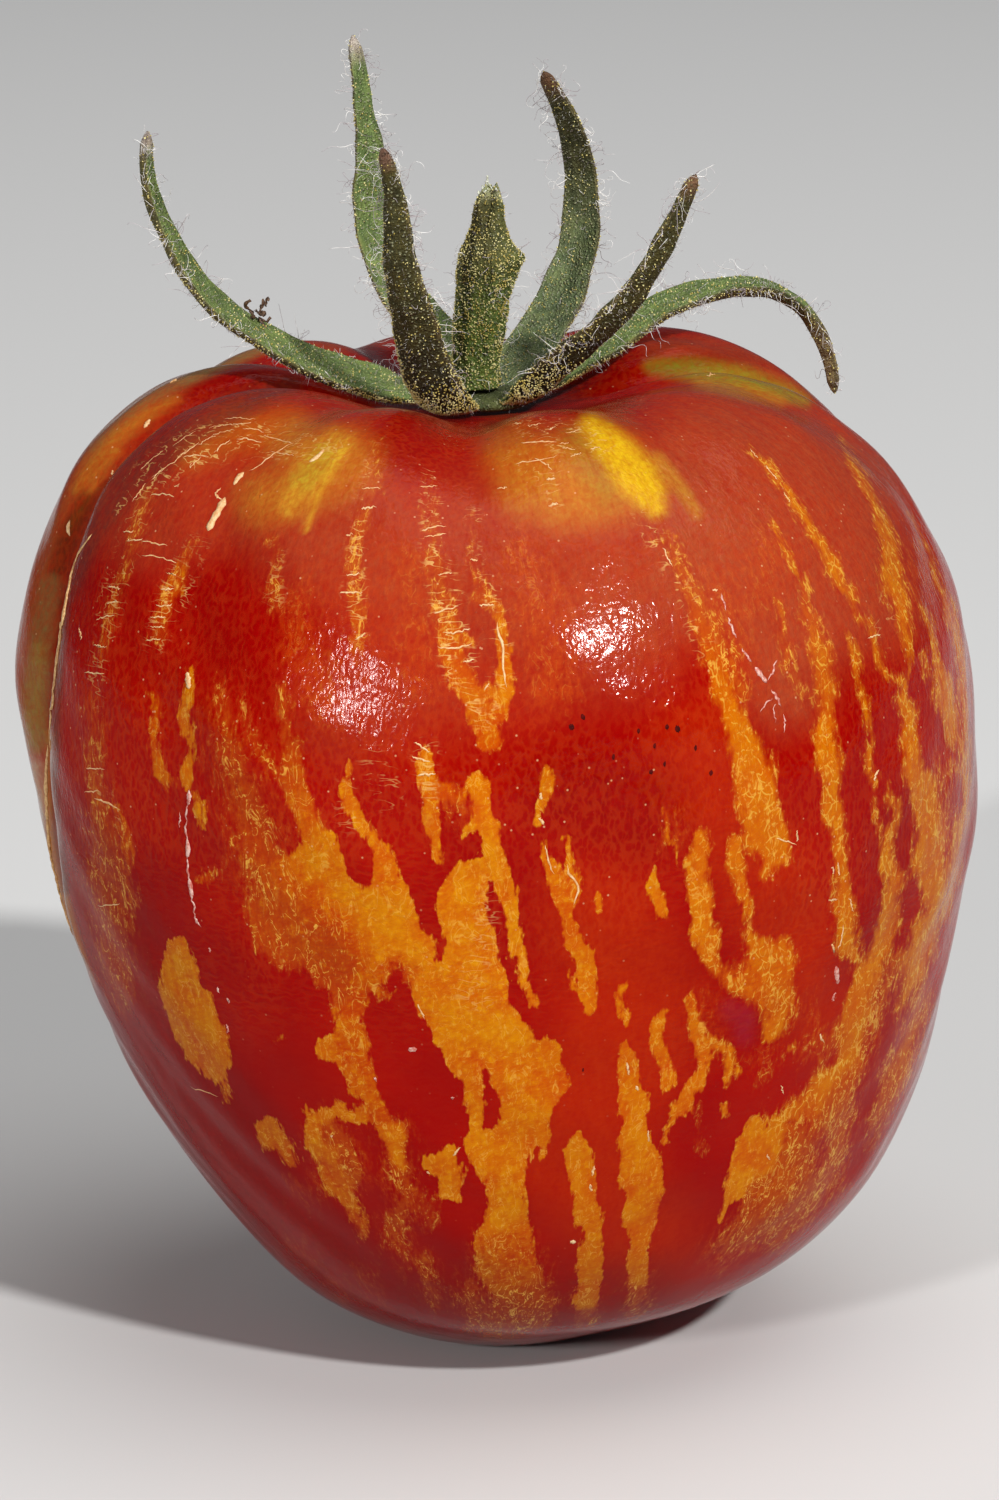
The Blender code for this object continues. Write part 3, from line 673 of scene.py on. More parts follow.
# Pale corky marks in the skin: half width in mm and path in pixels
corkMarks = [
    (0.12, [(132, 502), (140, 491), (147, 483)]), (0.10, [(151, 481), (160, 471), (170, 464)]),
    (0.10, [(176, 460), (190, 449), (200, 442)]), (0.08, [(198, 446), (207, 439), (216, 436)]),
    (0.08, [(140, 470), (152, 459), (164, 450)]), (0.08, [(172, 447), (184, 438), (196, 431)]),
    (0.08, [(208, 428), (222, 425), (236, 425)]), (0.08, [(224, 419), (240, 418), (256, 420)]),
    (0.08, [(150, 478), (168, 466), (188, 449)]), (0.10, [(182, 457), (196, 455), (209, 457)]),
    (0.12, [(214, 453), (222, 445), (230, 440)]), (0.10, [(236, 439), (248, 439), (262, 443)]),
    (0.08, [(212, 436), (222, 432), (234, 430)]), (0.08, [(242, 429), (252, 429), (264, 432)]),
    (0.08, [(232, 425), (252, 423)]), (0.08, [(256, 419), (278, 423)]),
    (0.10, [(263, 436), (280, 440), (293, 444)]),
    (0.11, [(291, 444), (278, 451), (263, 462), (249, 472)]), (0.08, [(270, 451), (294, 456)]),
    (0.30, [(244, 472), (238, 478), (234, 485)]),
    (0.42, [(225, 497), (220, 508), (213, 520), (208, 531)]),
    (0.16, [(221, 488), (216, 494), (222, 500)]), (0.24, [(324, 449), (318, 456), (309, 462)]),
    (0.08, [(192, 462), (190, 466), (202, 455)]), (0.10, [(150, 496), (162, 494), (174, 497)]),
    (0.08, [(174, 487), (180, 484)]), (0.30, [(187, 672), (188, 680), (189, 689)]),
    (0.16, [(520, 443), (535, 442), (556, 441)]),
    (0.09, [(514, 464), (532, 461), (546, 459), (558, 455)]),
    (0.08, [(534, 458), (545, 463), (552, 470)]), (0.10, [(504, 421), (514, 420)]),
    (0.10, [(513, 424), (521, 423)]), (0.12, [(527, 426), (541, 424)]), (0.10, [(549, 430), (556, 426)]),
    (0.09, [(566, 433), (580, 430)]), (0.10, [(559, 443), (569, 443)]), (0.09, [(562, 448), (575, 449)]),
    (0.10, [(590, 449), (600, 447)]), (0.08, [(570, 456), (582, 453)]), (0.17, [(546, 479), (556, 478)]),
    (0.16, [(548, 506), (558, 503)]), (0.12, [(497, 489), (507, 487)]), (0.15, [(361, 509), (375, 507)]),
    (0.09, [(362, 488), (380, 488)]), (0.13, [(346, 536), (352, 534)]), (0.13, [(340, 593), (362, 592)]),
    (0.14, [(355, 639), (366, 633)]), (0.10, [(345, 575), (360, 574)]),
    (0.10, [(421, 531), (433, 527), (446, 526)]), (0.08, [(424, 537), (447, 534)]),
    (0.10, [(438, 575), (452, 572)]), (0.09, [(420, 487), (438, 486)]), (0.14, [(470, 560), (478, 560)]),
    (0.12, [(442, 633), (452, 633), (470, 628)]), (0.11, [(437, 647), (455, 648), (473, 643)]),
    (0.12, [(464, 662), (474, 659)]), (0.10, [(433, 614), (445, 610), (458, 606)]),
    (0.12, [(478, 605), (495, 605)]),
    (0.16, [(497, 622), (498, 632), (503, 645), (503, 662), (506, 688)]),
    (0.10, [(484, 690), (490, 683)]), (0.13, [(414, 742), (430, 752)]), (0.13, [(412, 757), (430, 762)]),
    (0.14, [(418, 775), (436, 774)]), (0.18, [(540, 793), (542, 799)]), (0.17, [(540, 818), (544, 824)]),
    (0.10, [(545, 845), (549, 862), (554, 874)]),
    (0.14, [(567, 864), (571, 876), (576, 882), (574, 905)]), (0.12, [(712, 590), (718, 590)]),
    (0.10, [(663, 547), (667, 556), (673, 566)]), (0.12, [(765, 465), (771, 472), (778, 480)]),
    (0.10, [(750, 449), (758, 458)]), (0.10, [(784, 492), (790, 502)]), (0.16, [(707, 375), (716, 374)]),
    (0.28, [(716, 381), (720, 381)]), (0.12, [(868, 638), (880, 634)]),
    (0.16, [(875, 782), (876, 774), (880, 770)]), (0.14, [(838, 862), (839, 876)]),
    (0.13, [(832, 867), (834, 874)]), (0.14, [(828, 901), (837, 899)]), (0.12, [(850, 898), (853, 912)]),
    (0.13, [(843, 925), (842, 938), (838, 950)]), (0.16, [(832, 944), (834, 952)]),
    (0.16, [(820, 1034), (823, 1042)]), (0.10, [(781, 1086), (783, 1094)]),
    (0.10, [(776, 838), (797, 845)]), (0.14, [(797, 830), (797, 842)]),
    (0.10, [(418, 1004), (421, 1012), (425, 1020)]), (0.14, [(453, 1156), (460, 1147)]),
    (0.13, [(331, 1136), (332, 1137)]), (0.13, [(427, 1172), (429, 1174)]),
    (0.16, [(594, 1166), (593, 1176)]), (0.14, [(590, 1184), (592, 1192)]),
    (0.14, [(627, 1062), (629, 1076)]), (0.14, [(636, 1086), (638, 1090)]),
    (0.12, [(648, 1130), (649, 1142)]), (0.20, [(570, 1242), (576, 1242)]),
    (0.10, [(766, 1154), (770, 1160)]), (0.10, [(190, 1087), (203, 1091), (218, 1096)]),
    (0.20, [(144, 428), (150, 419)]), (0.22, [(170, 383), (176, 380)]), (0.18, [(112, 470), (113, 477)]),
    (0.20, [(70, 520), (68, 530), (70, 536)]), (0.14, [(79, 628), (81, 640)]),
    (0.10, [(84, 672), (104, 674)]), (0.10, [(96, 620), (104, 617), (115, 615)]),
    (0.10, [(94, 645), (106, 647)]), (0.09, [(86, 768), (104, 769)]), (0.09, [(84, 792), (99, 791)]),
    (0.12, [(94, 798), (108, 803), (118, 809)]), (0.09, [(98, 906), (120, 904)]),
    (0.14, [(120, 588), (108, 587)]), (0.12, [(118, 601), (106, 603)]), (0.10, [(122, 532), (134, 531)]),
    (0.10, [(126, 541), (142, 539)]), (0.12, [(160, 590), (174, 589)]), (0.12, [(156, 606), (172, 605)]),
    (0.10, [(150, 617), (166, 617)]), (0.10, [(150, 627), (164, 627)]), (0.10, [(146, 640), (160, 639)]),
    (0.10, [(141, 541), (168, 545)]), (0.09, [(142, 555), (160, 557), (178, 563)]),
    (0.09, [(176, 575), (166, 573)]),
]

# Pinkish scars, and the tan seam where the left lobe folds under, drawn the same way
scars = [
    (0.16, [(722, 594), (724, 602), (726, 610)]), (0.19, [(728, 618), (732, 628), (737, 638)]),
    (0.19, [(741, 648), (746, 655), (751, 662)]), (0.22, [(755, 667), (761, 675), (767, 683)]),
    (0.19, [(771, 690), (777, 698), (781, 706)]), (0.12, [(783, 714), (785, 722), (784, 732)]),
    (0.12, [(768, 680), (773, 671), (777, 660)]), (0.10, [(772, 698), (766, 703), (761, 712)]),
    (0.10, [(776, 704), (774, 712), (776, 722)]), (0.22, [(189, 790), (189, 797), (188, 805)]),
    (0.14, [(188, 804), (186, 812), (187, 820)]), (0.17, [(187, 820), (186, 830), (188, 840)]),
    (0.22, [(187, 838), (188, 850), (187, 858)]), (0.17, [(187, 858), (188, 868), (189, 880)]),
    (0.20, [(189, 878), (191, 890), (192, 900)]), (0.16, [(192, 898), (194, 908), (195, 916)]),
    (0.18, [(194, 914), (197, 922), (201, 926)]), (0.12, [(180, 812), (180, 820), (179, 828)]),
    (0.15, [(209, 948), (210, 952)]), (0.15, [(217, 987), (219, 993)]), (0.18, [(227, 998), (229, 1003)]),
    (0.17, [(227, 1024), (228, 1033)]), (0.20, [(408, 1050), (417, 1049)]),
    (0.15, [(375, 1077), (376, 1081)]), (0.14, [(451, 1098), (454, 1098)]),
    (0.24, [(836, 966), (838, 984)]), (0.18, [(836, 992), (832, 1001)]),
]
seam = [
    (0.26, [(92, 534), (77, 557), (70, 582), (65, 608), (60, 640), (56, 667), (53, 700), (50, 725),
            (48, 750)]),
    (0.26, [(48, 745), (46, 780), (47, 815), (50, 850), (56, 880), (64, 908), (72, 934)]),
]

# Small dark pits
pits = [
    (0.24, [(569, 728), (574, 726)]), (0.20, [(581, 718), (585, 716)]), (0.26, [(675, 730), (680, 728)]),
    (0.20, [(637, 731), (640, 731)]), (0.20, [(665, 727), (669, 727)]), (0.20, [(653, 746), (656, 746)]),
    (0.22, [(649, 772), (653, 772)]), (0.20, [(709, 773), (713, 773)]), (0.20, [(663, 764), (666, 764)]),
    (0.20, [(582, 1070), (584, 1070)]), (0.20, [(694, 748), (697, 748)]), (0.20, [(612, 757), (615, 757)]),
]


# How the markings lie on the skin. Picture places are in pixels, the rest is in mm
markForm = {
    "wobble": 2.2,  # how far noise shifts the markings, in pixels
    "hiddenGold": (22, (84.0, 276.0)),  # streaks behind: how many, from and to which turn in degrees
    "hiddenDull": (14, (90.0, 272.0)),
    "grainStretch": 2.2,  # how much longer the gold's fibres are up the fruit than round it
    "netAbove": (700.0, 860.0),  # the weak pale net of the upper part fades between these picture heights
    # The strong net at the right: each one comes in from x to x and fades from y to y of the picture
    "netBeside": ((640.0, 730.0, 1000.0, 1180.0), (740.0, 800.0, 1210.0, 1280.0)),
    "wrinkled": (22.0, 40.0),  # heights where the wrinkles start and are full
    "level": (31.0, 38.0),  # and between which they turn from level to upright
}


def outlineDepth(x, y, outline):
    # Distance to a closed outline, positive inside it, where a ray crosses an odd number of edges
    away, inside = np.full(x.shape, 1e6), np.zeros(x.shape, dtype=bool)
    for (x0, y0), (x1, y1) in zip(outline, outline[1:] + outline[:1]):
        dx, dy = x1 - x0, y1 - y0
        t = np.clip(((x - x0) * dx + (y - y0) * dy) / (dx * dx + dy * dy), 0.0, 1.0)
        away = np.minimum(away, np.hypot(x - x0 - t * dx, y - y0 - t * dy))
        inside ^= ((y0 > y) != (y1 > y)) & (x < x0 + (y - y0) * dx / (dy if dy else 1e-6))
    return np.where(inside, away, -away)


def strokeDepth(x, y, strokes):
    # How deep each point lies inside the strokes: the largest of half width less distance, over all
    # segments, and the strength of that segment there
    depth, strength = np.full(x.shape, -80.0), np.ones(x.shape)
    for stroke in strokes:
        for start, end in zip(stroke[:-1], stroke[1:]):
            x0, y0, r0, s0 = (*start, 1.0)[:4]
            x1, y1, r1, s1 = (*end, 1.0)[:4]
            dx, dy = x1 - x0, y1 - y0
            t = np.clip(((x - x0) * dx + (y - y0) * dy) / max(dx * dx + dy * dy, 1e-6), 0.0, 1.0)
            inside = r0 + (r1 - r0) * t - np.hypot(x - x0 - t * dx, y - y0 - t * dy)
            strength = np.where(inside > depth, s0 + (s1 - s0) * t, strength)
            depth = np.maximum(depth, inside)
    return depth, strength


def hiddenStreaks(rng, count, turns, reach):
    # Streaks for the side that the picture doesn't show: each wanders along a meridian, in mm round and up
    strokes = []
    for turn in np.linspace(*turns, count) + rng.uniform(-4.0, 4.0, count):
        low, high = rng.uniform(0.12, 0.40), rng.uniform(0.45, 0.90)
        steps = np.arange(low, high, 0.05)
        drift = np.cumsum(rng.uniform(-1.0, 1.0, len(steps)))
        wide = rng.uniform(0.5, 1.5) * (1.0 + 0.5 * np.sin(steps * rng.uniform(15, 40) + rng.uniform(0, 6)))
        wide = wide * (1.4 - 0.9 * (steps - 0.1)) * np.where(rng.uniform(0, 1, len(steps)) < 0.1, 0.2, 1.0)
        around = turn * fruitForm["meanRadius"] * math.pi / 180 + drift * 0.5
        strokes.append(list(zip(around, steps * reach, wide)))
    return strokes


def skinFields(points, share, azimuth):
    # The markings' values at each point of the skin grid: mm deep in gold and in faint orange, the gold's
    # strength, soft colour with painted sheen, light and shade in it, where the skin has wrinkled or cracked
    # and where the gold has a pale net
    eye = cameraPlace()[0]
    normal = gridNormals(points)
    toEye = eye - points
    facing = (normal * toEye).sum(axis=-1) / np.linalg.norm(toEye, axis=-1)
    seen = smoothStep(-0.02, 0.10, facing)
    spot = toPicture(points)
    across, down = spot[..., 0], spot[..., 1]
    x = across + markForm["wobble"] * ripple(11, across, down, 26.0)
    y = down + markForm["wobble"] * ripple(12, across, down, 30.0)
    perMm = picture["pixelsPerMm"]
    gold, strength = strokeDepth(x, y, [stroke for group in goldStrokes.values() for stroke in group])
    patch = outlineDepth(x, y, goldPatch)
    strength = np.where(patch > gold, 1.0, strength)
    gold = np.maximum(gold, patch)
    for amount, soft, stroke in fades:
        strength = strength * (1.0 - amount * smoothStep(-soft, 0.0, strokeDepth(x, y, [stroke])[0]))
    thin, thinStrength = strokeDepth(x, y, thinStrokes)
    solid = smoothStep(-5.0, 3.0, np.where(thin > gold, gold, 3.0))
    strength = thinStrength + (strength - thinStrength) * solid
    gold = np.minimum(np.maximum(gold, thin), -strokeDepth(x, y, redStrokes)[0]) / perMm
    dull = strokeDepth(x, y, dullStrokes)[0] / perMm

    reach, meanRadius = fruitForm["meridian"], fruitForm["meanRadius"]
    rng = np.random.default_rng(5)
    around = (np.degrees(azimuth)[None, :] + 90.0) % 360.0 * meanRadius * math.pi / 180
    around, along = np.broadcast_arrays(around + 0 * share, share * reach)
    around = around + 0.35 * ripple(21, around, along, 5.0)
    hiddenGold = strokeDepth(around, along, hiddenStreaks(rng, *markForm["hiddenGold"], reach))[0]
    hiddenDull = strokeDepth(around, along, hiddenStreaks(rng, *markForm["hiddenDull"], reach))[0]
    gold = seen * gold + (1.0 - seen) * hiddenGold
    dull = seen * dull + (1.0 - seen) * hiddenDull

    # Soft tints, among them painted sheen, painted light and painted shade
    tintAndLight = np.zeros((*gold.shape, 4))
    for colour, amount, soft, stroke in softTintsAndLight:
        part = amount * smoothStep(-soft, 0.35 * soft, strokeDepth(across, down, [stroke])[0]) * seen
        tintAndLight[..., :3] = tintAndLight[..., :3] * (1 - part[..., None]) + np.array(colour) * part[..., None]
        tintAndLight[..., 3] = 1 - (1 - tintAndLight[..., 3]) * (1 - part)
    tintAndLight[..., :3] = tintAndLight[..., :3] / np.maximum(tintAndLight[..., 3:], 1e-4)
    grain = np.stack(np.broadcast_arrays(
        meanRadius * np.cos(azimuth)[None, :], meanRadius * np.sin(azimuth)[None, :],
        share * reach / markForm["grainStretch"]), axis=-1)

    cracks, crackStrength = strokeDepth(across, down, crackStrokes)
    cracks = smoothStep(-8.0, 4.0, cracks) * crackStrength * seen
    above = 1.0 - smoothStep(*markForm["netAbove"], down)
    beside = 0.0
    for left, right, high, low in markForm["netBeside"]:
        beside = np.maximum(beside, smoothStep(left, right, across) * (1.0 - smoothStep(high, low, down)))
    web = 0.18 + 0.82 * np.maximum(0.35 * above, beside)
    height = points[..., 2]
    uneven = height + 4.0 * ripple(8, points[..., 0], height, 14.0)
    wrinkle = 0.12 + 0.88 * smoothStep(*markForm["wrinkled"], uneven)
    level = 1.0 - smoothStep(*markForm["level"], uneven)
    return normal, facing, {
        "gold": gold, "strength": seen * strength + 1 - seen, "dull": dull, "wrinkle": wrinkle,
        "level": level, "cracks": cracks, "web": web, "tintAndLight": tintAndLight, "grain": grain,
    }


# The skin's colours, the sizes of its fine forms in mm, and its shine
skinLook = {
    "deepRed": (0.315, 0.0006, 0.0005),
    "red": (0.370, 0.0040, 0.0006),
    "hollow": (0.50, 0.055, 0.007),  # between the domes: partly the skin's own lighter lines, partly painted sheen on the crepe
    "faint": (0.53, 0.070, 0.001),
    "orange": (0.540, 0.078, 0.001),
    "gold": (0.630, 0.235, 0.0015),
    "thin": (0.47, 0.092, 0.007),  # gold that the red shows through
    "bright": (0.70, 0.33, 0.004),
    "netted": (0.54, 0.130, 0.003),  # gold under the pale net
    "mesh": (0.72, 0.44, 0.07),
    "crack": (0.72, 0.46, 0.16),
    "speck": (0.72, 0.42, 0.22),
    "net": (0.76, 0.42, 0.07),
    "slant": 25.0,  # how far the fibres lean, in degrees
    "netSize": 0.80,
    "meshSize": 0.66,
    "domeSize": 0.40,
    "relief": 0.036,
    "rough": 0.125,
    "index": 1.17,  # of refraction
}


def skinFinish():
    # Red under faint orange under gold, each with ragged edges from noise, slanting fibres and a fine pale
    # net in the gold, and a crepe of tiny domes where the skin has wrinkled: upright above, level below
    look = skinLook
    skin = Finish("skinFinish", IOR=look["index"])
    place, grain = skin.place(), skin.attribute("grain", "Vector")
    gold, strength, dull = skin.attribute("gold"), skin.attribute("strength"), skin.attribute("dull")
    tintAndLight, tinted = skin.attribute("tintAndLight", "Color"), skin.attribute("tintAndLight", "Alpha")
    wrinkle, level = skin.attribute("wrinkle"), skin.attribute("level")
    cracks, web = skin.attribute("cracks"), skin.attribute("web")

    fibre = skin.noise(grain, 0.30, 2.0, 0.6) - 0.5
    blot = skin.noise(grain, 1.2, 3.0, 0.65) - 0.5
    broad = skin.noise(place, 8.0, 1.0)
    leaning = skin.stretch(skin.turn(place, look["slant"]), (0.6, 0.6, 1.2))
    slant = skin.noise(leaning, 0.34, 2.5, 0.65, 0.5) - 0.5
    patchy = skin.noise(place, 2.6, 2.0, 0.5) - 0.5
    ragged = (fibre * 0.5 + blot * 0.75) * (2.0 - strength)
    sharp = 1.3 + strength ** 3 * 5.0 * (1.15 - web)
    golden = ((gold + ragged) * sharp).step(-0.4, 0.9) * strength
    golden = golden * (0.96 + (fibre + slant) * (1.25 - strength))
    faint = (dull + fibre * 1.6 + blot * 3.0).step(-1.0, 1.2)
    inside = (gold + blot * 2.2).step(-0.1, 1.4)

    strand = skin.noise(grain, look["netSize"], 2.6, 0.55, 1.0)
    crack = skin.noise(skin.stretch(grain, (0.30, 0.30, 2.0)), 0.60, 2.0, 0.5, 0.25)
    net = (1 - abs(strand - 0.5) * 2).step(0.945, 0.995) * (slant + blot).step(-0.15, 0.12)
    cracked = (1 - abs(crack - 0.5) * 2).step(0.95, 0.99) * blot.step(-0.10, 0.06) * cracks
    sway = skin.stretch(skin.noise(grain, 0.8, 2.0, 0.6, 0.0, "Color"), (0.7, 0.7, 0.7))
    swayed = skin.shift(skin.stretch(grain, (0.85, 0.85, 1.7)), sway)
    edges = skin.cells(swayed, look["meshSize"], "DISTANCE_TO_EDGE")
    mesh = edges.step(0.075, 0.015) * (blot + fibre).step(-0.06, 0.12) * web
    warp = skin.noise(place, 0.9, 2.0, 0.5, 0.0, "Color")
    bent = skin.shift(place, skin.stretch(warp, (0.9, 0.9, 0.9)))
    tall = skin.cells(skin.stretch(bent, (1.35, 1.35, 0.62)), look["domeSize"])
    wide = skin.cells(skin.stretch(bent, (0.45, 0.45, 1.6)), look["domeSize"])
    cell = tall + (wide - tall) * level

    red = skin.mix(broad.step(0.3, 0.7), look["deepRed"], look["red"])
    # The soft tints over the red, painted sheen, light and shade among them
    red = skin.mix(tinted * (0.85 + blot + slant * 1.2 + fibre * 0.9), red, tintAndLight)
    # Lighter between the crepe's domes: partly the skin's own lines, partly painted sheen
    red = skin.mix(cell.step(0.28, 0.75) * wrinkle * (broad + blot) * 0.5, red, look["hollow"])
    speck = skin.cells(place, 0.85).step(0.11, 0.04) * (broad + blot).step(0.36, 0.52) * wrinkle
    colour = skin.mix(faint * (0.26 + fibre + slant * 0.6), red, look["faint"])
    rich = 0.52 + patchy * 1.7 + blot * 0.9 + slant * 1.1 + (strength - 1.0) + inside * 0.25
    orange = skin.mix(rich, look["orange"], look["gold"])
    orange = skin.mix((0.72 - strength).step(0.0, 0.25) * 0.8, orange, look["thin"])
    orange = skin.mix((slant + fibre).step(0.08, 0.36) * 0.4, orange, look["bright"])
    orange = skin.mix(web * 0.5, orange, look["netted"])
    colour = skin.mix(golden, colour, orange)
    # The soft tints, painted sheen among them, also lie faintly over the gold
    colour = skin.mix(tinted * 0.30, colour, tintAndLight)
    shown = (golden * 1.5).least(1.0) + faint * 0.10
    colour = skin.mix(mesh * shown * 0.58, colour, look["mesh"])
    colour = skin.mix(cracked * 0.72, colour, look["crack"])
    colour = skin.mix(speck * 0.6, colour, look["speck"])
    thready = (golden * 2.2).least(1.0) * ((0.78 - strength).step(0.0, 0.2) * 0.30 + 0.44)
    colour = skin.mix(net * (thready + faint * 0.16), colour, look["net"])

    fine = skin.noise(place, 0.26, 2.0, 0.6) * (0.15 + wrinkle * 0.2)
    domes = (1 - cell * cell) * wrinkle * (0.5 + level * 0.5 + (patchy + blot) * 1.4)
    height = domes + fine + blot * 0.5 + patchy * 2.2
    normal = skin.bump(height, 1.0, look["relief"])
    rough = look["rough"] + (broad - 0.5) * 0.08 - fibre * 0.08
    return skin.feed(Base_Color=skin.stretch(colour, shade), Roughness=rough, Normal=normal)


def buildSkin():
    points, share, azimuth = fruitSurface()
    normal, facing, fields = skinFields(points, share, azimuth)
    rows, columns = points.shape[:2]
    faces = gridFaces(rows, columns)
    foot, top = rows * columns, rows * columns + 1
    faces = [*faces.tolist(), *fan(np.arange(columns), foot, False).tolist(),
             *fan(np.arange(columns) + (rows - 1) * columns, top, True).tolist()]
    ends = np.array([[0.0, 0.0, 0.0], [*points[-1, :, :2].mean(axis=0), scarHeight]])
    every = np.concatenate([points.reshape(-1, 3), ends])

    def closed(values):
        flat = values.reshape(rows * columns, -1)
        return np.concatenate([flat, flat[:1], flat[-1:]])

    kinds = {"tintAndLight": "FLOAT_COLOR", "grain": "FLOAT_VECTOR"}
    attributes = [(name, kinds.get(name, "FLOAT"), closed(values)) for name, values in fields.items()]
    piece = makePiece("skin", every, faces, skinFinish(), attributes)
    return piece, points, normal, facing


def onSkin(spots, points, normal, facing):
    # Skin points under picture places: the nearest point of the grid that faces the camera, then one linear
    # step along the grid's own directions to land on the place. Each place lies close to the one before it,
    # so that a path keeps to its own lobe
    flat = toPicture(points)
    blocked = np.where(facing > 0.03, 0.0, 1e6)
    found, up = [], []
    for before, spot in zip([spots[0], *spots], spots):
        apart = ((flat - spot) ** 2).sum(axis=-1) + blocked
        if found:
            reach = 0.6 + 3.0 * np.linalg.norm(spot - before) / picture["pixelsPerMm"]
            apart = apart + 1e5 * (np.linalg.norm(points - found[-1], axis=-1) > reach)
        i, j = np.unravel_index(apart.argmin(), apart.shape)
        i = min(max(i, 1), len(points) - 2)
        right, left = (j + 1) % points.shape[1], j - 1
        across, ahead = (points[i, right] - points[i, left]) / 2, (points[i + 1, j] - points[i - 1, j]) / 2
        sideMove, upMove = (flat[i, right] - flat[i, left]) / 2, (flat[i + 1, j] - flat[i - 1, j]) / 2
        moves = np.column_stack([sideMove, upMove])
        step = np.clip(np.linalg.lstsq(moves, spot - flat[i, j], rcond=0.05)[0], -0.8, 0.8)
        found.append(points[i, j] + step[0] * across + step[1] * ahead)
        up.append(normal[i, j])
    return np.array(found), np.array(up)


def tubes(paths, sideways, upward, wide, high, sides):
    # Rings of an ellipse carried along each path, closed by a middle point at both ends. The paths and their
    # sideways and upward directions are (tubes, rings, 3), wide and high are (tubes, rings)
    count, rings = paths.shape[:2]
    turn = np.linspace(0.0, 2 * math.pi, sides, endpoint=False)
    ring = (paths[:, :, None] + (wide[..., None] * np.cos(turn))[..., None] * sideways[:, :, None]
            + (high[..., None] * np.sin(turn))[..., None] * upward[:, :, None])
    ends = paths[:, [0, -1]]
    points = np.concatenate([ring.reshape(count, -1, 3), ends], axis=1)
    each = rings * sides + 2
    one = gridFaces(rings, sides)
    caps = np.concatenate([fan(np.arange(sides), each - 2, False),
                           fan(np.arange(sides) + (rings - 1) * sides, each - 1, True)])
    start = (np.arange(count) * each)[:, None, None]
    quads = (one[None] + start).reshape(-1, 4).tolist()
    return points.reshape(-1, 3), quads + (caps[None] + start).reshape(-1, 3).tolist()


def corkFinish(name, colour, edge, rough, shine=0.5):
    # Two tones and a rough grit
    cork = Finish(name, Specular_IOR_Level=shine)
    grit = cork.noise(cork.place(), 0.25, 3.0, 0.6)
    tone = cork.mix(grit.step(0.35, 0.65), edge, colour)
    normal = cork.bump(grit, 0.5, 0.05)
    return cork.feed(Base_Color=cork.stretch(tone, shade), Roughness=rough + grit * 0.2, Normal=normal)


# The marks that stand on the skin: the finish (name, colour, edge colour, roughness, shine), the rings of a
# path, the height over the width and the seed. A mark finer than fineMark, in mm, wavers and is thinner
fineMark = 0.2
markPieces = {
    "corkMarks": {
        "marks": corkMarks, "rings": 11, "height": 0.35, "seed": 7,
        "finish": ("corkFinish", (0.80, 0.56, 0.30), (0.70, 0.36, 0.14), 0.5),
    },
    "scars": {
        "marks": scars, "rings": 9, "height": 0.45, "seed": 8,
        "finish": ("scarFinish", (0.78, 0.50, 0.42), (0.52, 0.13, 0.09), 0.5),
    },
    "seam": {
        "marks": seam, "rings": 48, "height": 0.5, "seed": 9,
        "finish": ("seamFinish", (0.78, 0.52, 0.24), (0.50, 0.24, 0.08), 0.5),
    },
    "pits": {
        "marks": pits, "rings": 7, "height": 0.12, "seed": 10,
        "finish": ("pitFinish", (0.13, 0.004, 0.003), (0.05, 0.003, 0.002), 0.7, 0.1),
    },
}


def buildMarks(name, form, skinGrid):
    # Each mark is a low rounded ridge that follows its path on the skin and thins out at both ends
    material = corkFinish(*form["finish"])
    rings = form["rings"]
    rng = np.random.default_rng(form["seed"])
    paths, side, up, wide = [], [], [], []
    for half, path in form["marks"]:
        spots = smoothPath(path, rings)
        spots = spots + rng.normal(0.0, 0.5, spots.shape) * (half < fineMark)
        place, normal = onSkin(spots, *skinGrid)
        ahead = np.gradient(place, axis=0)
        across = np.cross(normal, ahead)
        across /= np.maximum(np.linalg.norm(across, axis=1, keepdims=True), 1e-6)
        share = np.linspace(-1.0, 1.0, rings)
        taper = np.sqrt(np.clip(1.0 - share**2, 0.0, 1.0)) * 0.9 + 0.08
        paths.append(place)
        side.append(across)
        up.append(normal)
        wide.append(half * (0.5 if half < fineMark else 0.85) * taper * rng.uniform(0.65, 1.25, rings))
    wide = np.array(wide)
    high = wide * form["height"]
    points, faces = tubes(np.array(paths), np.array(side), np.array(up), wide, high, 6)
    return makePiece(name, points, faces, material)


# The calyx, in mm: a small disc on the scar with six curled sepals, each along a middle line of (out, up).
# A sepal's azimuth and rolls at root and tip are in degrees, and its end is the tip's width
innerGreen, deepGreen, greyGreen = (0.150, 0.210, 0.065), (0.10, 0.145, 0.045), (0.160, 0.205, 0.092)
dimGreen, edgeTan = (0.078, 0.080, 0.030), (0.24, 0.19, 0.09)
darkOlive, brownOlive, goldOlive = (0.022, 0.017, 0.005), (0.060, 0.054, 0.011), (0.12, 0.105, 0.026)
dryWhite, dryBrown, dryPink = (0.70, 0.60, 0.52), (0.26, 0.14, 0.07), (0.34, 0.19, 0.13)
dryTan = (0.27, 0.20, 0.09)
calyxForm = {
    "foot": 59.3,
    "disc": ((0.0, 3.0), (0.3, 3.4), (0.6, 3.2), (0.8, 2.6)),
    "discColour": (0.095, 0.115, 0.038),
    "thick": 1.2,
    "endThick": 0.8,
    "channel": 0.15,
    "stations": 100,
    "sides": 32,
    "vein": 0.10,  # groove above and keel below the middle
    "ribs": 0.035,
    "wave": 0.10,  # unevenness of the edges
}
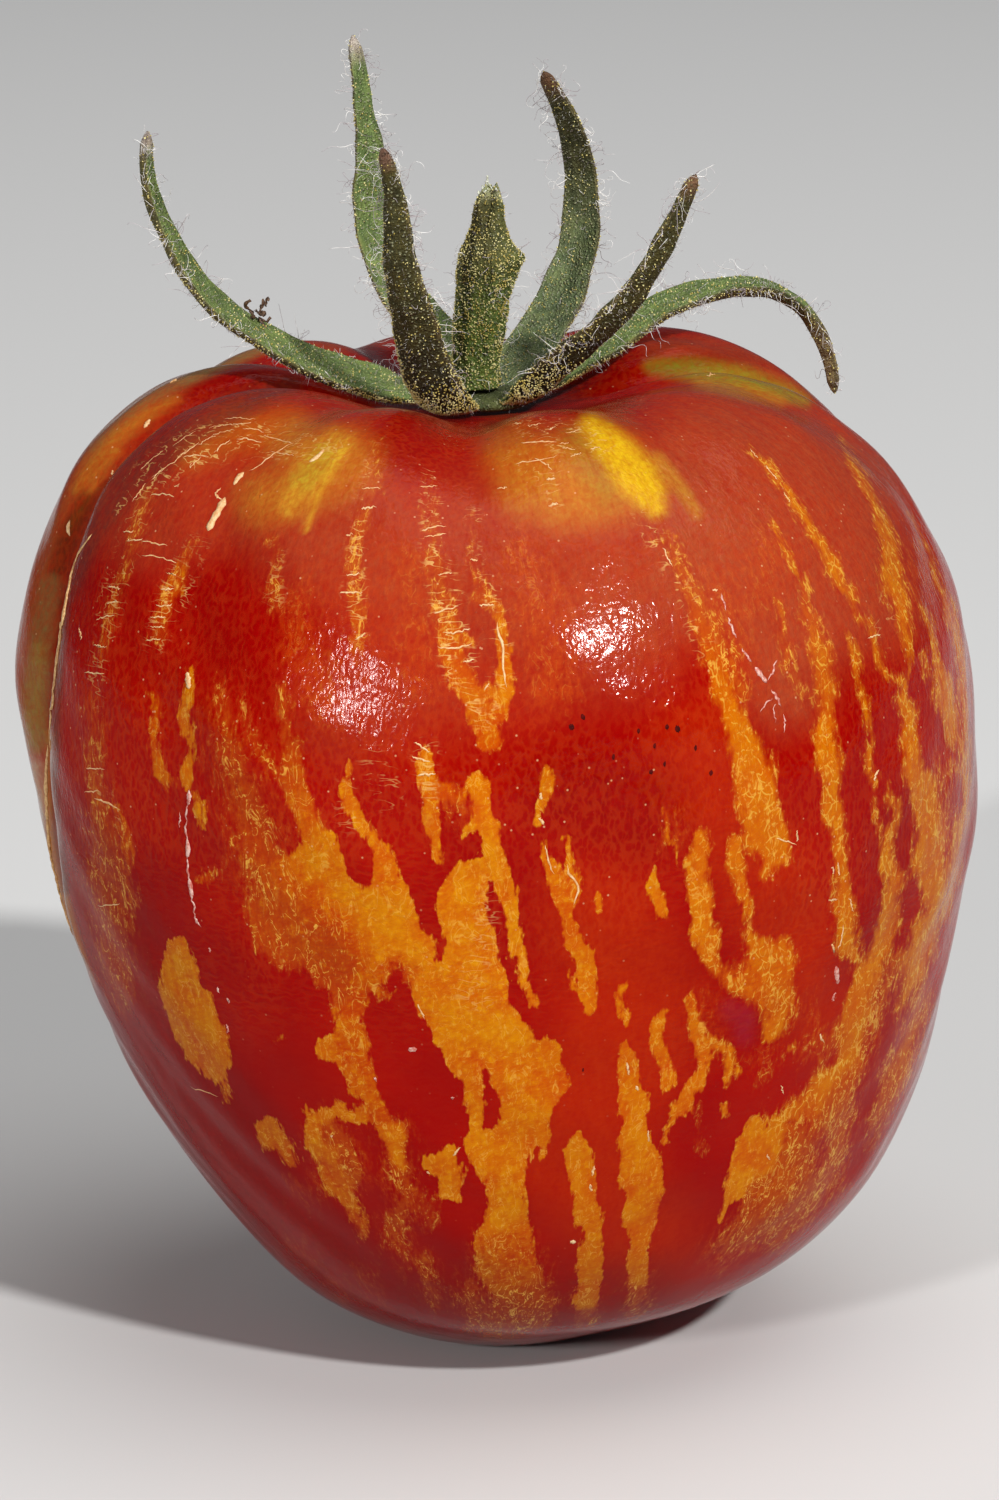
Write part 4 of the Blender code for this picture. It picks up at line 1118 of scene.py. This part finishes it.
sepals = {
    "left": {
        "azimuth": 186.0, "end": 0.6, "width": 4.2, "rolls": (-24.0, -24.0), "dryFrom": 0.965,
        "inner": innerGreen, "outer": goldOlive, "root": darkOlive, "tip": dryWhite,
        "path": ((2.3, 0.4), (3.6, 0.6), (5.7, 1.0), (9.9, 2.3), (14.0, 4.6), (16.2, 6.3), (18.0, 8.6),
                 (19.5, 11.7), (20.3, 14.9), (20.2, 17.2)),
    },
    "backLeft": {
        "azimuth": 120.0, "end": 0.7, "width": 4.3, "rolls": (0.0, 0.0), "dryFrom": 0.95,
        "inner": innerGreen, "outer": goldOlive, "root": darkOlive, "tip": dryWhite,
        "path": ((2.3, 0.4), (3.6, 1.4), (6.0, 3.1), (9.7, 5.0), (12.4, 6.9), (13.9, 10.0), (14.2, 13.6),
                 (14.7, 16.6), (16.0, 21.0)),
    },
    "front": {
        "azimuth": 243.0, "end": 0.6, "width": 4.6, "rolls": (0.0, 0.0), "dryFrom": 0.955,
        "inner": innerGreen, "outer": brownOlive, "root": darkOlive, "tip": dryPink,
        "path": ((2.3, 0.4), (4.0, 0.5), (6.2, 1.7), (8.0, 4.6), (9.5, 7.6), (10.7, 11.0), (11.1, 14.0),
                 (12.5, 17.5)),
    },
    "backRight": {
        "azimuth": 62.0, "end": 0.8, "width": 4.4, "rolls": (0.0, 0.0), "dryFrom": 0.93,
        "inner": greyGreen, "outer": goldOlive, "root": darkOlive, "upper": dimGreen, "tip": dryBrown,
        "path": ((2.3, 0.4), (3.7, 0.7), (5.8, 1.4), (8.9, 3.1), (11.9, 5.2), (13.9, 8.6), (14.2, 11.8),
                 (12.8, 15.2), (8.6, 19.5)),
    },
    "rightFront": {
        "azimuth": 325.0, "end": 0.85, "width": 4.9, "rolls": (0.0, 0.0), "dryFrom": 0.945,
        "inner": innerGreen, "outer": brownOlive, "root": darkOlive, "tip": dryBrown,
        "path": ((2.3, 0.4), (3.5, 0.9), (5.6, 2.5), (8.5, 4.8), (11.4, 7.6), (13.5, 10.7), (15.0, 13.6),
                 (15.9, 15.6)),
    },
    "right": {
        "azimuth": 22.0, "end": 0.4, "width": 4.0, "rolls": (18.0, 10.0), "dryFrom": 0.80,
        "inner": innerGreen, "outer": goldOlive, "root": deepGreen, "tip": dryTan,
        "path": ((2.3, 0.4), (3.6, 0.8), (5.5, 1.6), (8.6, 3.0), (12.6, 5.1), (16.3, 6.0), (19.4, 5.9),
                 (22.0, 4.4), (23.6, 2.0), (24.3, -1.1)),
    },
}


def sepalSurface(sepal, seed):
    # The section is a boat: u = -cos t across it, lifted by the trough's depth * u^2, with half the thickness
    # * sin t to the power 0.7 above and below. It is carried along the middle line, square to it, and rolled
    # about it. The edges waver, and a groove runs above and a keel below
    form = calyxForm
    count = form["stations"]
    share = np.linspace(0.0, 1.0, count)
    line = smoothPath(sepal["path"], count)
    ahead = np.gradient(line, axis=0)
    ahead /= np.linalg.norm(ahead, axis=1)[:, None]
    angle = math.radians(sepal["azimuth"])
    outward = np.array([math.cos(angle), math.sin(angle), 0.0])
    sideways = np.array([-math.sin(angle), math.cos(angle), 0.0])
    upright = np.array([0.0, 0.0, 1.0])

    width = sepal["width"]
    widths = width * (0.62 + 0.38 * smoothStep(0.0, 0.12, share))
    widths = sepal["end"] + (widths - sepal["end"]) * (1.0 - share) ** 0.85
    thinned = np.maximum(share, 1.0 - smoothStep(0.0, 0.15, share))
    thicks = form["thick"] + (form["endThick"] - form["thick"]) * thinned
    troughs = form["channel"] * widths * smoothStep(0.03, 0.2, share)
    shrink = np.sqrt(np.clip((1.0 - share) / 0.03, 0.02, 1.0))
    roll = sepal["rolls"][0] + (sepal["rolls"][1] - sepal["rolls"][0]) * share
    turn = (np.radians(roll) * smoothStep(0.0, 0.2, share))[:, None]

    face = -ahead[:, 1:] * outward + ahead[:, :1] * upright
    across = np.cos(turn) * sideways + np.sin(turn) * face
    face = np.cos(turn) * face - np.sin(turn) * sideways
    t = -np.linspace(0.0, 2.0 * math.pi, form["sides"], endpoint=False)[None, :]
    u, rise = -np.cos(t), np.sign(np.sin(t)) * np.abs(np.sin(t)) ** 0.7
    middle = smoothStep(0.05, 0.2, share)[:, None] * (1 - smoothStep(0.8, 1.0, share))[:, None]
    keel = form["vein"] * np.exp(-((u / 0.16) ** 2)) * middle
    ribs = form["ribs"] * np.cos(u * 13.0) * middle * (np.abs(u) < 0.9)
    x = u * widths[:, None] / 2.0
    wavy = form["wave"] * ripple(seed, share[:, None] * 60.0, np.sign(u) * 9.0, 8.0)
    x = x + wavy * np.abs(u) ** 3 * middle * np.sign(u)
    height = troughs[:, None] * u**2 + thicks[:, None] * rise * (0.5 - 0.2 * u**2) - keel
    uneven = 0.6 * form["wave"] * ripple(seed + 9, share[:, None] * 60.0, u * 3.0, 7.0)
    height = height + ribs + uneven * middle
    x, height = x * shrink[:, None], height * shrink[:, None]
    points = (line[:, :1, None] * outward + line[:, 1:, None] * upright
              + x[..., None] * across[:, None] + height[..., None] * face[:, None])
    points += np.array([fruitForm["stemOffset"], 0.0, calyxForm["foot"]])
    inner = smoothStep(-0.25, 0.25, rise) + 0 * share[:, None]
    return points, share[:, None] + 0 * t, u + 0 * share[:, None], inner


def sepalColour(sepal, share, u, inner, seed):
    # The outer colour runs from the root's to its own. The inner face, the rim and the dried tip lie over it
    speckle = ripple(seed + 31, share * 30.0, u * 3.0, 3.0)[..., None] * 0.12 + 1.0
    spread = smoothStep(0.1, 0.6, share)[..., None]
    outer = np.array(sepal["root"]) + (np.array(sepal["outer"]) - sepal["root"]) * spread
    late = np.array(sepal.get("upper", sepal["inner"]))
    face = sepal["inner"] + (late - sepal["inner"]) * smoothStep(0.4, 0.75, share)[..., None]
    colour = outer + (face - outer) * inner[..., None]
    rim = 0.45 * smoothStep(0.88, 0.99, np.abs(u)) * smoothStep(0.1, 0.3, share)
    colour = colour + (np.array(edgeTan) - colour) * rim[..., None]
    dry = smoothStep(sepal["dryFrom"] - 0.04, min(sepal["dryFrom"] + 0.06, 1.0), share)
    return (colour + (np.array(sepal["tip"]) - colour) * dry[..., None]) * speckle, dry


# The sepals' and the stalk's finish: factors on a blade's own colour, colours, and sizes in mm
leafLook = {
    # The first two factors are painted light on the raised blotches and painted shade in the hollows between
    # them
    "light": (1.5, 1.35, 1.1),
    "hollowShade": (0.50, 0.58, 0.45),
    "fibre": (0.40, 0.38, 0.30),
    "dust": (2.5, 2.3, 2.7),
    "dots": (0.50, 0.50, 0.30),
    "scorched": (0.08, 0.035, 0.015),
    "dotSize": 0.27,
    "dustSize": 0.19,
    "relief": 0.17,
    "rough": 0.55,
    "shine": 0.3,
}


def leafFinish(name):
    # Colour comes from the blade, with painted shade in the hollows of its bumps and painted light on their
    # raised blotches, with fine lengthwise fibres and a dense dust of tiny pale dots, which thins out on the
    # dried ends
    look = leafLook
    leaf = Finish(name, Specular_IOR_Level=look["shine"])
    place, own, dry = leaf.place(), leaf.attribute("leaf", "Color"), leaf.attribute("dry")
    grain = leaf.attribute("grain", "Vector")
    blotch = leaf.noise(place, 0.8, 3.0, 0.65)
    fibre = leaf.noise(leaf.stretch(grain, (1.0, 1.0, 0.12)), 0.20, 2.0, 0.6)
    grit = leaf.noise(place, 0.18, 2.0, 0.7)
    dots = leaf.cells(place, look["dotSize"])
    dust = leaf.cells(leaf.shift(place, (7.0, 3.0, 1.0)), look["dustSize"])
    # Painted light on the raised blotches, then painted shade in the hollows between them
    colour = leaf.mix(blotch.step(0.42, 0.64) * 0.6, own, leaf.stretch(own, look["light"]))
    colour = leaf.mix((1 - blotch).step(0.50, 0.62) * 0.5, colour, leaf.stretch(own, look["hollowShade"]))
    colour = leaf.mix(fibre.step(0.42, 0.70) * 0.6, colour, leaf.stretch(own, look["fibre"]))
    colour = leaf.mix(dust.step(0.45, 0.15) * 0.75, colour, leaf.stretch(own, look["dust"]))
    colour = leaf.mix(dots.step(0.38, 0.18) * grit.step(0.40, 0.55) * 0.75, colour, look["dots"])
    colour = leaf.mix(dry * 0.85, colour, own)
    colour = leaf.mix(dry * blotch.step(0.4, 0.6) * 0.6, colour, look["scorched"])
    height = fibre * 0.6 + dots.step(0.45, 0.0) * 0.8 + dust.step(0.45, 0.0) * 0.6 + grit * 0.8 + blotch
    normal = leaf.bump(height, 1.0, look["relief"])
    rough = look["rough"] + fibre * 0.25
    return leaf.feed(Base_Color=leaf.stretch(colour, shade), Roughness=rough, Normal=normal)


def joinGrids(grids):
    # One mesh from closed tubes of rings, with a middle point in each end
    points, faces, first = [], [], 0
    for grid in grids:
        rows, columns = grid.shape[:2]
        foot, top = first + rows * columns, first + rows * columns + 1
        points += [grid.reshape(-1, 3), grid[0].mean(axis=0)[None], grid[-1].mean(axis=0)[None]]
        faces += gridFaces(rows, columns, first).tolist()
        faces += fan(np.arange(columns) + first, foot, False).tolist()
        faces += fan(np.arange(columns) + first + (rows - 1) * columns, top, True).tolist()
        first += rows * columns + 2
    return np.concatenate(points), faces


def withEnds(values):
    # A grid's values with those of its two middle points after them
    rows, columns = values.shape[:2]
    flat = values.reshape(rows * columns, -1)
    return np.concatenate([flat, values[0].reshape(columns, -1).mean(axis=0)[None],
                           values[-1].reshape(columns, -1).mean(axis=0)[None]])


def turned(rings, sides, foot):
    # A turned profile of (height, radius)
    rings = np.array(rings)
    t = np.linspace(0.0, 2.0 * math.pi, sides, endpoint=False)
    x = rings[:, 1:2] * np.cos(t) + fruitForm["stemOffset"]
    y = rings[:, 1:2] * np.sin(t)
    return np.stack([x, y, rings[:, :1] + foot + 0.0 * x], axis=-1)


def buildCalyx():
    grids, leaf, dry, grain, blades = [], [], [], [], []
    disc = turned(smoothPath(calyxForm["disc"], 9), 96, calyxForm["foot"])
    grids.append(disc)
    leaf.append(withEnds(np.broadcast_to(np.array(calyxForm["discColour"]), (*disc.shape[:2], 3))))
    dry.append(withEnds(np.zeros(disc.shape[:2])))
    grain.append(withEnds(disc))
    for seed, sepal in enumerate(sepals.values()):
        points, share, u, inner = sepalSurface(sepal, seed)
        colour, withered = sepalColour(sepal, share, u, inner, seed)
        grids.append(points)
        leaf.append(withEnds(colour))
        dry.append(withEnds(withered))
        length = chordLengths(points[:, 0])[-1]
        grain.append(withEnds(np.stack([u * 2.0 + seed * 5.0, inner * 4.0, share * length], axis=-1)))
        blades.append((points, share, u, inner))
    points, faces = joinGrids(grids)
    colour = np.concatenate(leaf)
    colour = np.column_stack([colour, np.ones(len(colour))])
    attributes = [("leaf", "FLOAT_COLOR", colour), ("dry", "FLOAT", np.concatenate(dry)),
                  ("grain", "FLOAT_VECTOR", np.concatenate(grain))]
    return makePiece("calyxBlades", points, faces, leafFinish("leafFinish"), attributes), blades


# The stalk, in mm: rings of height above its foot, radius and lean to +X. It was snapped off above its
# knuckle, which has a lip on one side
stalkForm = {
    "foot": 60.4,
    "rings": (
        (0.0, 1.60, -0.20), (0.7, 1.46, -0.20), (3.6, 1.60, 0.02), (6.2, 1.70, 0.38), (7.8, 1.90, 0.66),
        (8.4, 1.76, 0.66), (9.1, 1.36, 0.62), (10.6, 0.98, 0.70), (11.8, 0.72, 0.84), (12.3, 0.38, 0.88),
    ),
    "rows": 110,
    "sides": 72,
    "lipAngle": 0.0,
    "lip": 0.35,
    "lipHeight": 8.0,
    "rough": 0.05,
    "ribs": 0.05,
    "ribCount": 7.0,
    "torn": 0.22,
    "green": (0.115, 0.165, 0.032),
    "brown": (0.105, 0.095, 0.030),
    "pale": (0.34, 0.36, 0.20),
}


def stalkSurface():
    # A turned profile with a lip on one side of the knuckle, faint ribs all round and a torn upper end
    form = stalkForm
    rings = smoothPath(form["rings"], form["rows"])
    t = np.linspace(0.0, 2.0 * math.pi, form["sides"], endpoint=False)[None, :]
    height = rings[:, :1]
    away = np.angle(np.exp(1j * (t - math.radians(form["lipAngle"]))))
    lip = form["lip"] * np.exp(-((away / 0.6) ** 2)) * np.exp(-(((height - form["lipHeight"]) / 0.45) ** 2))
    rough = form["rough"] * ripple(41, t * 4.0 + 0 * height, height, 1.6)
    rough = rough + form["ribs"] * np.cos(form["ribCount"] * t + 0.3 * height)
    top = smoothStep(9.4, 12.3, height)
    right, back = 3.0 * np.cos(t) + 0 * height, 3.0 * np.sin(t)
    radius = rings[:, 1:2] * (1 + top * 0.25 * ripple(43, right, back, 3.0))
    radius = np.maximum(radius + lip + rough * (1 - top), 0.05)
    torn = form["torn"] * top * ripple(44, right, back, 2.2)
    x = radius * np.cos(t) + rings[:, 2:3] + fruitForm["stemOffset"]
    points = np.stack([x, radius * np.sin(t), height + torn + form["foot"]], axis=-1)
    return points, height + 0 * t, t + 0 * height


def buildStalk():
    form = stalkForm
    points, height, t = stalkSurface()
    side = 0.5 + 0.5 * np.cos(t - 0.3)
    brown = smoothStep(5.5, 9.0, height) * 0.6 + (1 - side) * smoothStep(3.0, 8.0, height) * 0.4
    brown = np.clip(brown, 0, 1)[..., None]
    colour = np.array(form["green"]) + (np.array(form["brown"]) - form["green"]) * brown
    pale = smoothStep(11.3, 12.3, height)[..., None]
    colour = colour + (np.array(form["pale"]) - colour) * pale
    mesh, faces = joinGrids([points])
    colour = withEnds(colour)
    grain = np.stack([1.6 * np.cos(t), 1.6 * np.sin(t), height], axis=-1)
    attributes = [("leaf", "FLOAT_COLOR", np.column_stack([colour, np.ones(len(colour))])),
                  ("dry", "FLOAT", withEnds(0.0 * height)), ("grain", "FLOAT_VECTOR", withEnds(grain))]
    return makePiece("stalkStub", mesh, faces, leafFinish("stalkFinish"), attributes), points, height


def scatter(points, weight, count, rng):
    # Random places on a ring grid, as likely as each quad's area times its weight, with the way out from
    # there and the row that they lie in
    a, b = points[:-1], np.roll(points, -1, axis=1)[:-1]
    c, d = np.roll(points, -1, axis=1)[1:], points[1:]
    up = np.cross(c - a, d - b)
    area = np.linalg.norm(up, axis=-1) * weight[:-1]
    pick = rng.choice(area.size, count, p=(area / area.sum()).ravel())
    i, j = np.unravel_index(pick, area.shape)
    s, t = rng.uniform(0, 1, (2, count, 1))
    place = (a[i, j] * (1 - s) + b[i, j] * s) * (1 - t) + (d[i, j] * (1 - s) + c[i, j] * s) * t
    normal = up[i, j] / np.maximum(np.linalg.norm(up[i, j], axis=1, keepdims=True), 1e-9)
    return place, normal, i


def squareTo(way, rng):
    # Two directions square to each way and to each other, at a random turn about it
    side = np.cross(way, rng.normal(0, 1, way.shape))
    side /= np.maximum(np.linalg.norm(side, axis=1, keepdims=True), 1e-9)
    return side, np.cross(way, side)


# The glands, in mm: tiny beads, thick on the sepals' outer faces near the root and on the stalk
glandForm = {
    "radius": (0.040, 0.080),
    "stalkCount": 3400,
    "outerCount": 1800,
    "innerCount": 350,
    "raised": 0.35,  # how far a bead's middle stands off, over its radius
    "tall": 1.1,
    "colours": ((0.53, 0.42, 0.10), (0.84, 0.76, 0.35)),
}


def buildGlands(blades, stalkGrid, stalkHeight):
    rng = np.random.default_rng(61)
    form = glandForm
    weight = 1.25 - 0.5 * smoothStep(6.0, 11.0, stalkHeight)
    found = [scatter(stalkGrid, weight, form["stalkCount"], rng)[:2]]
    for points, share, u, inner in blades:
        rooted = 0.08 + 2.4 * (1 - smoothStep(0.02, 0.34, share)) + 1.3 * np.abs(u) ** 6 * (1 - 0.8 * share)
        found.append(scatter(points, rooted * (1 - inner), form["outerCount"], rng)[:2])
        found.append(scatter(points, inner * (1 - 0.5 * share), form["innerCount"], rng)[:2])
    place = np.concatenate([each[0] for each in found])
    up = np.concatenate([each[1] for each in found])
    side, other = squareTo(up, rng)
    radius = rng.uniform(*form["radius"], (len(place), 1))
    place = place + up * radius * form["raised"]
    corners = [place + radius * way for way in (side, other, -side, -other)]
    tip, foot = place + up * radius * form["tall"], place - up * radius * form["tall"]
    points = np.stack([*corners, tip, foot], axis=1).reshape(-1, 3)
    one = np.array([[0, 1, 4], [1, 2, 4], [2, 3, 4], [3, 0, 4], [1, 0, 5], [2, 1, 5], [3, 2, 5], [0, 3, 5]])
    faces = (one[None] + 6 * np.arange(len(place))[:, None, None]).reshape(-1, 3).tolist()
    gland = Finish("glandFinish", Roughness=0.35, Specular_IOR_Level=0.6)
    tone = gland.noise(gland.place(), 0.9, 2.0)
    colour = gland.mix(tone.step(0.35, 0.65), *form["colours"])
    return makePiece("glands", points, faces, gland.feed(Base_Color=gland.stretch(colour, shade)))


# The hairs, in mm: fine, pale and curly along the sepals' edges, a few on their faces and on the stalk, and
# short straight stubble all over. Each kind has a number on each sepal or the stalk, a length and a spread
hairForm = {
    "radius": 0.020,
    "rings": 12,
    "curl": 5.2,  # the most that a hair bends steadily, in radians
    "edge": (150, (0.7, 2.6), 0.35),
    "face": (18, (0.4, 1.2), 0.4),
    "stalk": (80, (0.5, 1.7), 0.4),
    "stubble": (900, (0.14, 0.42), 0.35),
    "stubbleThin": 0.62,  # over the radius
    "colours": ((0.36, 0.31, 0.32), (0.78, 0.76, 0.72)),
}


def hairPaths(root, way, length, rng, curl):
    # The direction turns in a plane of its own by a steady bend plus a wave, and the steps are summed
    rings = hairForm["rings"]
    side, other = squareTo(way, rng)
    s = np.linspace(0.0, 1.0, rings)[None, :, None]
    bend = rng.uniform(-curl, curl, (len(root), 1, 1))
    wave = rng.uniform(0.3, 1.5, (len(root), 1, 1)) * min(curl, 1.0)
    turn = bend * s**1.6 + wave * np.sin(s * rng.uniform(4.0, 10.0, (len(root), 1, 1)))
    step = np.cos(turn) * way[:, None] + np.sin(turn) * side[:, None]
    step = step * length[:, None, None] / (rings - 1)
    path = root[:, None] + np.concatenate([0 * step[:, :1], np.cumsum(step[:, :-1], axis=1)], axis=1)
    across = -np.sin(turn) * way[:, None] + np.cos(turn) * side[:, None]
    return path, across, np.broadcast_to(other[:, None], path.shape)


def buildHairs(blades, stalkGrid, stalkHeight):
    rng = np.random.default_rng(71)
    form = hairForm
    root, way, length = [], [], []

    def grow(kind, points, weight):
        # On the edges they stick out sideways, elsewhere they stand up
        count, reach, spread = form[kind]
        place, up, row = scatter(points, weight, count, rng)
        if kind == "edge":
            outward = place - points.mean(axis=1)[row]
            up = outward / np.linalg.norm(outward, axis=1, keepdims=True) + 0.3 * up
        root.append(place)
        way.append(up + spread * rng.normal(0, 1, up.shape))
        length.append(rng.uniform(*reach, count))

    for points, share, u, inner in blades:
        edge = np.abs(u) ** 12 * smoothStep(0.12, 0.3, share) * (0.6 + 0.4 * smoothStep(0.4, 0.8, share))
        grow("edge", points, edge + 1e-6)
        grow("face", points, 0.3 + inner * (1 - smoothStep(0.1, 0.3, share)))
    grow("stalk", stalkGrid, 1.0 - 0.7 * smoothStep(8.0, 10.0, stalkHeight))
    root, way, length = np.concatenate(root), np.concatenate(way), np.concatenate(length)
    way /= np.linalg.norm(way, axis=1, keepdims=True)
    path, across, other = hairPaths(root - 0.05 * way, way, length, rng, form["curl"])
    taper = np.linspace(1.15, 0.45, form["rings"])[None, :] * np.ones((len(root), 1)) * form["radius"]
    points, faces = tubes(path, across, other, taper, taper, 3)

    grids = [blade[0] for blade in blades] + [stalkGrid]
    count, reach, spread = form["stubble"]
    short = [scatter(grid, np.ones(grid.shape[:2]), count, rng)[:2] for grid in grids]
    place, up = (np.concatenate([each[k] for each in short]) for k in (0, 1))
    way = up + spread * rng.normal(0, 1, up.shape)
    way /= np.linalg.norm(way, axis=1, keepdims=True)
    size = rng.uniform(*reach, (len(place), 1))
    side, other = squareTo(way, rng)
    thin = form["radius"] * form["stubbleThin"]
    feet = [place + thin * side,
            place - thin * 0.5 * side + thin * 0.87 * other,
            place - thin * 0.5 * side - thin * 0.87 * other]
    spikes = np.stack([*feet, place + way * size], axis=1).reshape(-1, 3)
    one = np.array([[0, 1, 3], [1, 2, 3], [2, 0, 3], [0, 2, 1]])
    first = len(points) + 4 * np.arange(len(place))[:, None, None]
    faces += (one[None] + first).reshape(-1, 3).tolist()
    hair = Finish("hairFinish", Roughness=0.45)
    tone = hair.noise(hair.place(), 1.5, 2.0)
    colour = hair.mix(tone.step(0.4, 0.6), *form["colours"])
    return makePiece("hairs", np.concatenate([points, spikes]), faces, hair.feed(Base_Color=colour))


# Small dry bits, in mm: a scrap of a petal on the left sepal, at a place of the picture, and the torn white
# fibres on top of the stalk. The shift moves a tuft's middle from the point that it is placed by
scrapForm = {
    "count": 9, "length": (0.5, 1.6), "radius": 0.11, "spread": 0.45, "curl": 3.0, "seed": 81,
    "place": (263, 316), "shift": (0.0, -0.2, 0.2), "way": (0.0, -0.4, 0.8),
    "finish": ("scrapFinish", (0.20, 0.11, 0.06), (0.06, 0.03, 0.015), 0.6),
}
fibreForm = {
    "count": 16, "length": (0.25, 0.65), "radius": 0.09, "spread": 0.25, "curl": 0.8, "seed": 82,
    "shift": (-0.15, -0.1, -0.1), "way": (-0.3, -0.2, 1.0),
    "finish": ("fibreFinish", (0.80, 0.80, 0.72), (0.50, 0.52, 0.36), 0.5),
}


def buildTuft(name, form, centre):
    # Short bent strands that start together and lean apart
    material = corkFinish(*form["finish"])
    rng = np.random.default_rng(form["seed"])
    count = form["count"]
    root = centre + np.array(form["shift"]) + form["spread"] * rng.normal(0, 1, (count, 3))
    way = np.array(form["way"]) + 0.7 * rng.normal(0, 1, (count, 3))
    way /= np.linalg.norm(way, axis=1, keepdims=True)
    path, across, other = hairPaths(root, way, rng.uniform(*form["length"], count), rng, form["curl"])
    taper = form["radius"] * rng.uniform(0.6, 1.4, path.shape[:2])
    points, faces = tubes(path, across, other, taper, taper * 0.6, 6)
    return makePiece(name, points, faces, material)


def main():
    skinPiece, *skinGrid = buildSkin()
    print("skin done", len(skinPiece.data.vertices))
    marks = [buildMarks(name, form, skinGrid) for name, form in markPieces.items()]
    print("marks done", [len(piece.data.polygons) for piece in marks])
    calyxPiece, blades = buildCalyx()
    stalkPiece, stalkGrid, stalkHeight = buildStalk()
    print("calyx and stalk done", len(calyxPiece.data.vertices), len(stalkPiece.data.vertices))
    glandPiece = buildGlands(blades, stalkGrid, stalkHeight)
    hairPiece = buildHairs(blades, stalkGrid, stalkHeight)
    print("glands and hairs done", len(glandPiece.data.polygons), len(hairPiece.data.polygons))
    blade = blades[0][0]
    apart = np.linalg.norm(toPicture(blade) - np.array(scrapForm["place"]), axis=-1) - blade[..., 2]
    scrapPiece = buildTuft("driedScrap", scrapForm, blade[np.unravel_index(apart.argmin(), apart.shape)])
    fibrePiece = buildTuft("tornFibres", fibreForm, stalkGrid[-6:].mean(axis=(0, 1)))
    print("small bits done")

    for piece, node in ((skinPiece, "fruit"), (calyxPiece, "calyx"), (stalkPiece, "stalk")):
        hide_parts(node)
    slots = {
        "skin": (skinPiece, *marks),
        "sepal": (calyxPiece, glandPiece, hairPiece, scrapPiece),
        "stalk": (stalkPiece, fibrePiece),
    }
    for slot, pieces in slots.items():
        for piece in pieces:
            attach(piece, "root")


# The lights, in mm: which way each one's middle lies from the fruit, how far off, how wide and tall, and its
# watts. The floor is a square with this half side
stageForm = {
    "lights": {
        "leftLight": ((-0.485, -0.814, 0.319), 2000.0, 64.0, 250.0, 23.5),
        "rightLight": ((0.448, -0.694, 0.564), 2000.0, 140.0, 100.0, 42.0),
        "topLight": ((0.25, -0.05, 1.0), 1800.0, 1800.0, 1800.0, 19.0),
    },
    "floorHalf": 3000.0,
    "floorColour": (0.56, 0.555, 0.545, 1.0),
    "worldColour": (0.90, 0.93, 1.0, 1.0),
    "worldStrength": 0.15,
    "gamma": 0.90,  # under 1 deepens the dark tones, as in the photograph
}


def buildStage():
    floorFinish = Finish("floorFinish", Base_Color=stageForm["floorColour"], Roughness=0.9)
    half = stageForm["floorHalf"]
    corners = np.array([[-half, -half, 0.0], [half, -half, 0.0], [half, half, 0.0], [-half, half, 0.0]])
    makePiece("floor", corners, [[0, 1, 2, 3]], floorFinish.material, smooth=False)

    scene = bpy.context.scene
    scene.view_settings.view_transform = "Standard"
    scene.view_settings.gamma = stageForm["gamma"]
    world = bpy.data.worlds.new("studio")
    world.use_nodes = True
    world.node_tree.nodes["Background"].inputs["Color"].default_value = stageForm["worldColour"]
    world.node_tree.nodes["Background"].inputs["Strength"].default_value = stageForm["worldStrength"]
    scene.world = world

    aim = Vector(picture["aim"]) * mm
    for name, (way, distance, wide, tall, watts) in stageForm["lights"].items():
        light = bpy.data.lights.new(name, "AREA")
        light.shape = "ELLIPSE"
        light.size, light.size_y = wide * mm, tall * mm
        light.energy = watts
        lamp = bpy.data.objects.new(name, light)
        lamp.location = aim + Vector(way).normalized() * distance * mm
        lamp.rotation_euler = (aim - lamp.location).to_track_quat("-Z", "Y").to_euler()
        scene.collection.objects.link(lamp)

    eye, back = cameraPlace()
    camera = bpy.data.cameras.new("camera")
    camera.sensor_width = picture["sensor"]
    camera.lens = picture["pixelsPerMm"] * picture["distance"] * picture["sensor"] / picture["height"]
    holder = bpy.data.objects.new("camera", camera)
    holder.location = Vector(eye) * mm
    holder.rotation_euler = Vector(back).to_track_quat("Z", "Y").to_euler()
    scene.collection.objects.link(holder)
    scene.camera = holder


main()
buildStage()
